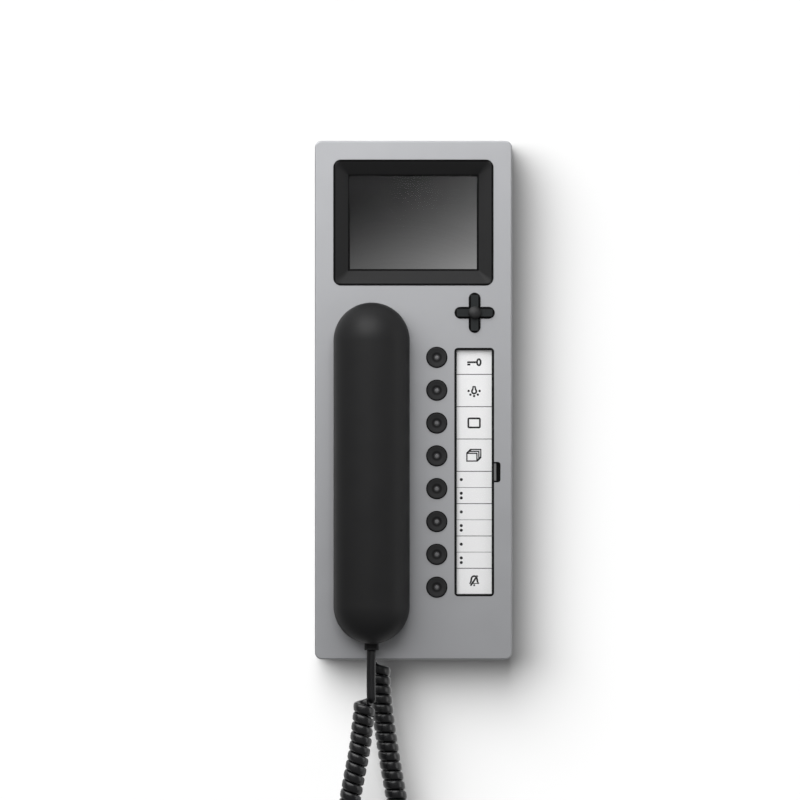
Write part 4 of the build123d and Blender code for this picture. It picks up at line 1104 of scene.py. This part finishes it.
# Wall: plain white plaster round the wall box, which takes the station's soft shadow.
# Metal and glass mirror it as white, and it is clear from behind, for the views of the back.
wall_size, wall_gap = 8, 0.0004
wall_tone = 0.45
bpy.ops.mesh.primitive_plane_add(
    size=wall_size, location=(0, wall_gap, 0), rotation=(math.radians(90), 0, 0)
)
wall = bpy.context.object
wall.name = "wall"
bpy.ops.object.transform_apply(location=True, rotation=True, scale=True)
wall.visible_shadow = False
wall.visible_diffuse = False
plaster = bpy.data.materials.new("white_wall")
plaster.use_nodes = True
tree = plaster.node_tree
tree.nodes.clear()
output = tree.nodes.new("ShaderNodeOutputMaterial")
behind = tree.nodes.new("ShaderNodeMixShader")
shown = tree.nodes.new("ShaderNodeMixShader")
paint = tree.nodes.new("ShaderNodeBsdfDiffuse")
paint.inputs["Color"].default_value = (wall_tone, wall_tone, wall_tone, 1)
glow = tree.nodes.new("ShaderNodeEmission")
clear = tree.nodes.new("ShaderNodeBsdfTransparent")
facing = tree.nodes.new("ShaderNodeNewGeometry")
ray = tree.nodes.new("ShaderNodeLightPath")
mirrored = joined(
    tree, "MAXIMUM", ray.outputs["Is Glossy Ray"], ray.outputs["Is Transmission Ray"]
)
tree.links.new(mirrored, shown.inputs[0])
tree.links.new(paint.outputs[0], shown.inputs[1])
tree.links.new(glow.outputs[0], shown.inputs[2])
tree.links.new(facing.outputs["Backfacing"], behind.inputs[0])
tree.links.new(shown.outputs[0], behind.inputs[1])
tree.links.new(clear.outputs[0], behind.inputs[2])
tree.links.new(behind.outputs[0], output.inputs[0])
wall.data.materials.append(plaster)


# Room: a white studio round the station, which lights it softly from all sides. The camera
# sees it pure white, and the station gets a fifth of that as light.
room_level = 0.2
world = bpy.data.worlds.new("studio")
bpy.context.scene.world = world
world.use_nodes = True
tree = world.node_tree
tree.nodes.clear()
output = tree.nodes.new("ShaderNodeOutputWorld")
mixed = tree.nodes.new("ShaderNodeMixShader")
room = tree.nodes.new("ShaderNodeBackground")
room.inputs["Color"].default_value = (1, 1, 1, 1)
room.inputs["Strength"].default_value = room_level
white = tree.nodes.new("ShaderNodeBackground")
white.inputs["Color"].default_value = (1, 1, 1, 1)
ray = tree.nodes.new("ShaderNodeLightPath")
tree.links.new(ray.outputs["Is Camera Ray"], mixed.inputs[0])
tree.links.new(room.outputs[0], mixed.inputs[1])
tree.links.new(white.outputs[0], mixed.inputs[2])
tree.links.new(mixed.outputs[0], output.inputs[0])


# Lamps: a wide soft box at the upper left in front, a smaller one there for the handset
# alone, a faint one close above, a tall one at the right and one behind. The wall has its
# own broad sun, which draws the station's shadow.
def lamp(name, kind, location, target, power, size=(0.3, 0.3), only=None):
    """A lamp that points at its target and lights one group of objects, or everything."""
    bpy.ops.object.light_add(type=kind, location=location)
    made = bpy.context.object
    made.name = name
    made.rotation_euler = (
        (Vector(target) - Vector(location)).to_track_quat("-Z", "Y").to_euler()
    )
    made.data.energy = power
    if kind == "AREA":
        made.data.shape = "RECTANGLE"
        made.data.size, made.data.size_y = size
    made.light_linking.receiver_collection = only
    return made


def group(name, members, state):
    """A group of objects that a lamp lights alone, or leaves out."""
    made = bpy.data.collections.new(name)
    for member in members:
        made.objects.link(member)
    for linked in made.collection_objects:
        linked.light_linking.link_state = state
    return made


wall_only = group("wall_only", [wall], "INCLUDE")
not_wall = group("not_wall", [wall], "EXCLUDE")
not_shell = group(
    "not_shell",
    [wall, solids["label_card"], solids["label_window"], label_print, solids["front_shell"]],
    "EXCLUDE",
)
handset_shells = [solids["handset_front"], solids["handset_back"]]
not_handset = group("not_handset", [wall, *handset_shells], "EXCLUDE")
handset_only = group("handset_only", handset_shells, "INCLUDE")
wall_lamp = lamp("wall_lamp", "SUN", (-0.53, -1, 0.62), (0, 0, 0), 8.3, only=wall_only)
wall_lamp.data.angle = math.radians(62)
lamp("front_lamp", "AREA", (-0.25, -0.52, 0.56), (0, 0, 0), 13.4, (1.2, 1.2), not_handset)
lamp("handset_lamp", "AREA", (-0.16, -0.66, 0.5), (0, 0, 0), 8.2, (0.5, 0.5), handset_only)
lamp("top_lamp", "AREA", (-0.22, -0.22, 0.42), (0, -0.03, 0.05), 0.4, (0.3, 0.25), not_shell)
lamp("right_lamp", "AREA", (0.9, -0.35, 0.0), (0, 0, 0), 2.0, (0.3, 0.9), not_wall)
lamp("back_lamp", "AREA", (0.4, 1.2, 0.5), (0, 0, 0), 10, (0.8, 0.8), not_wall)
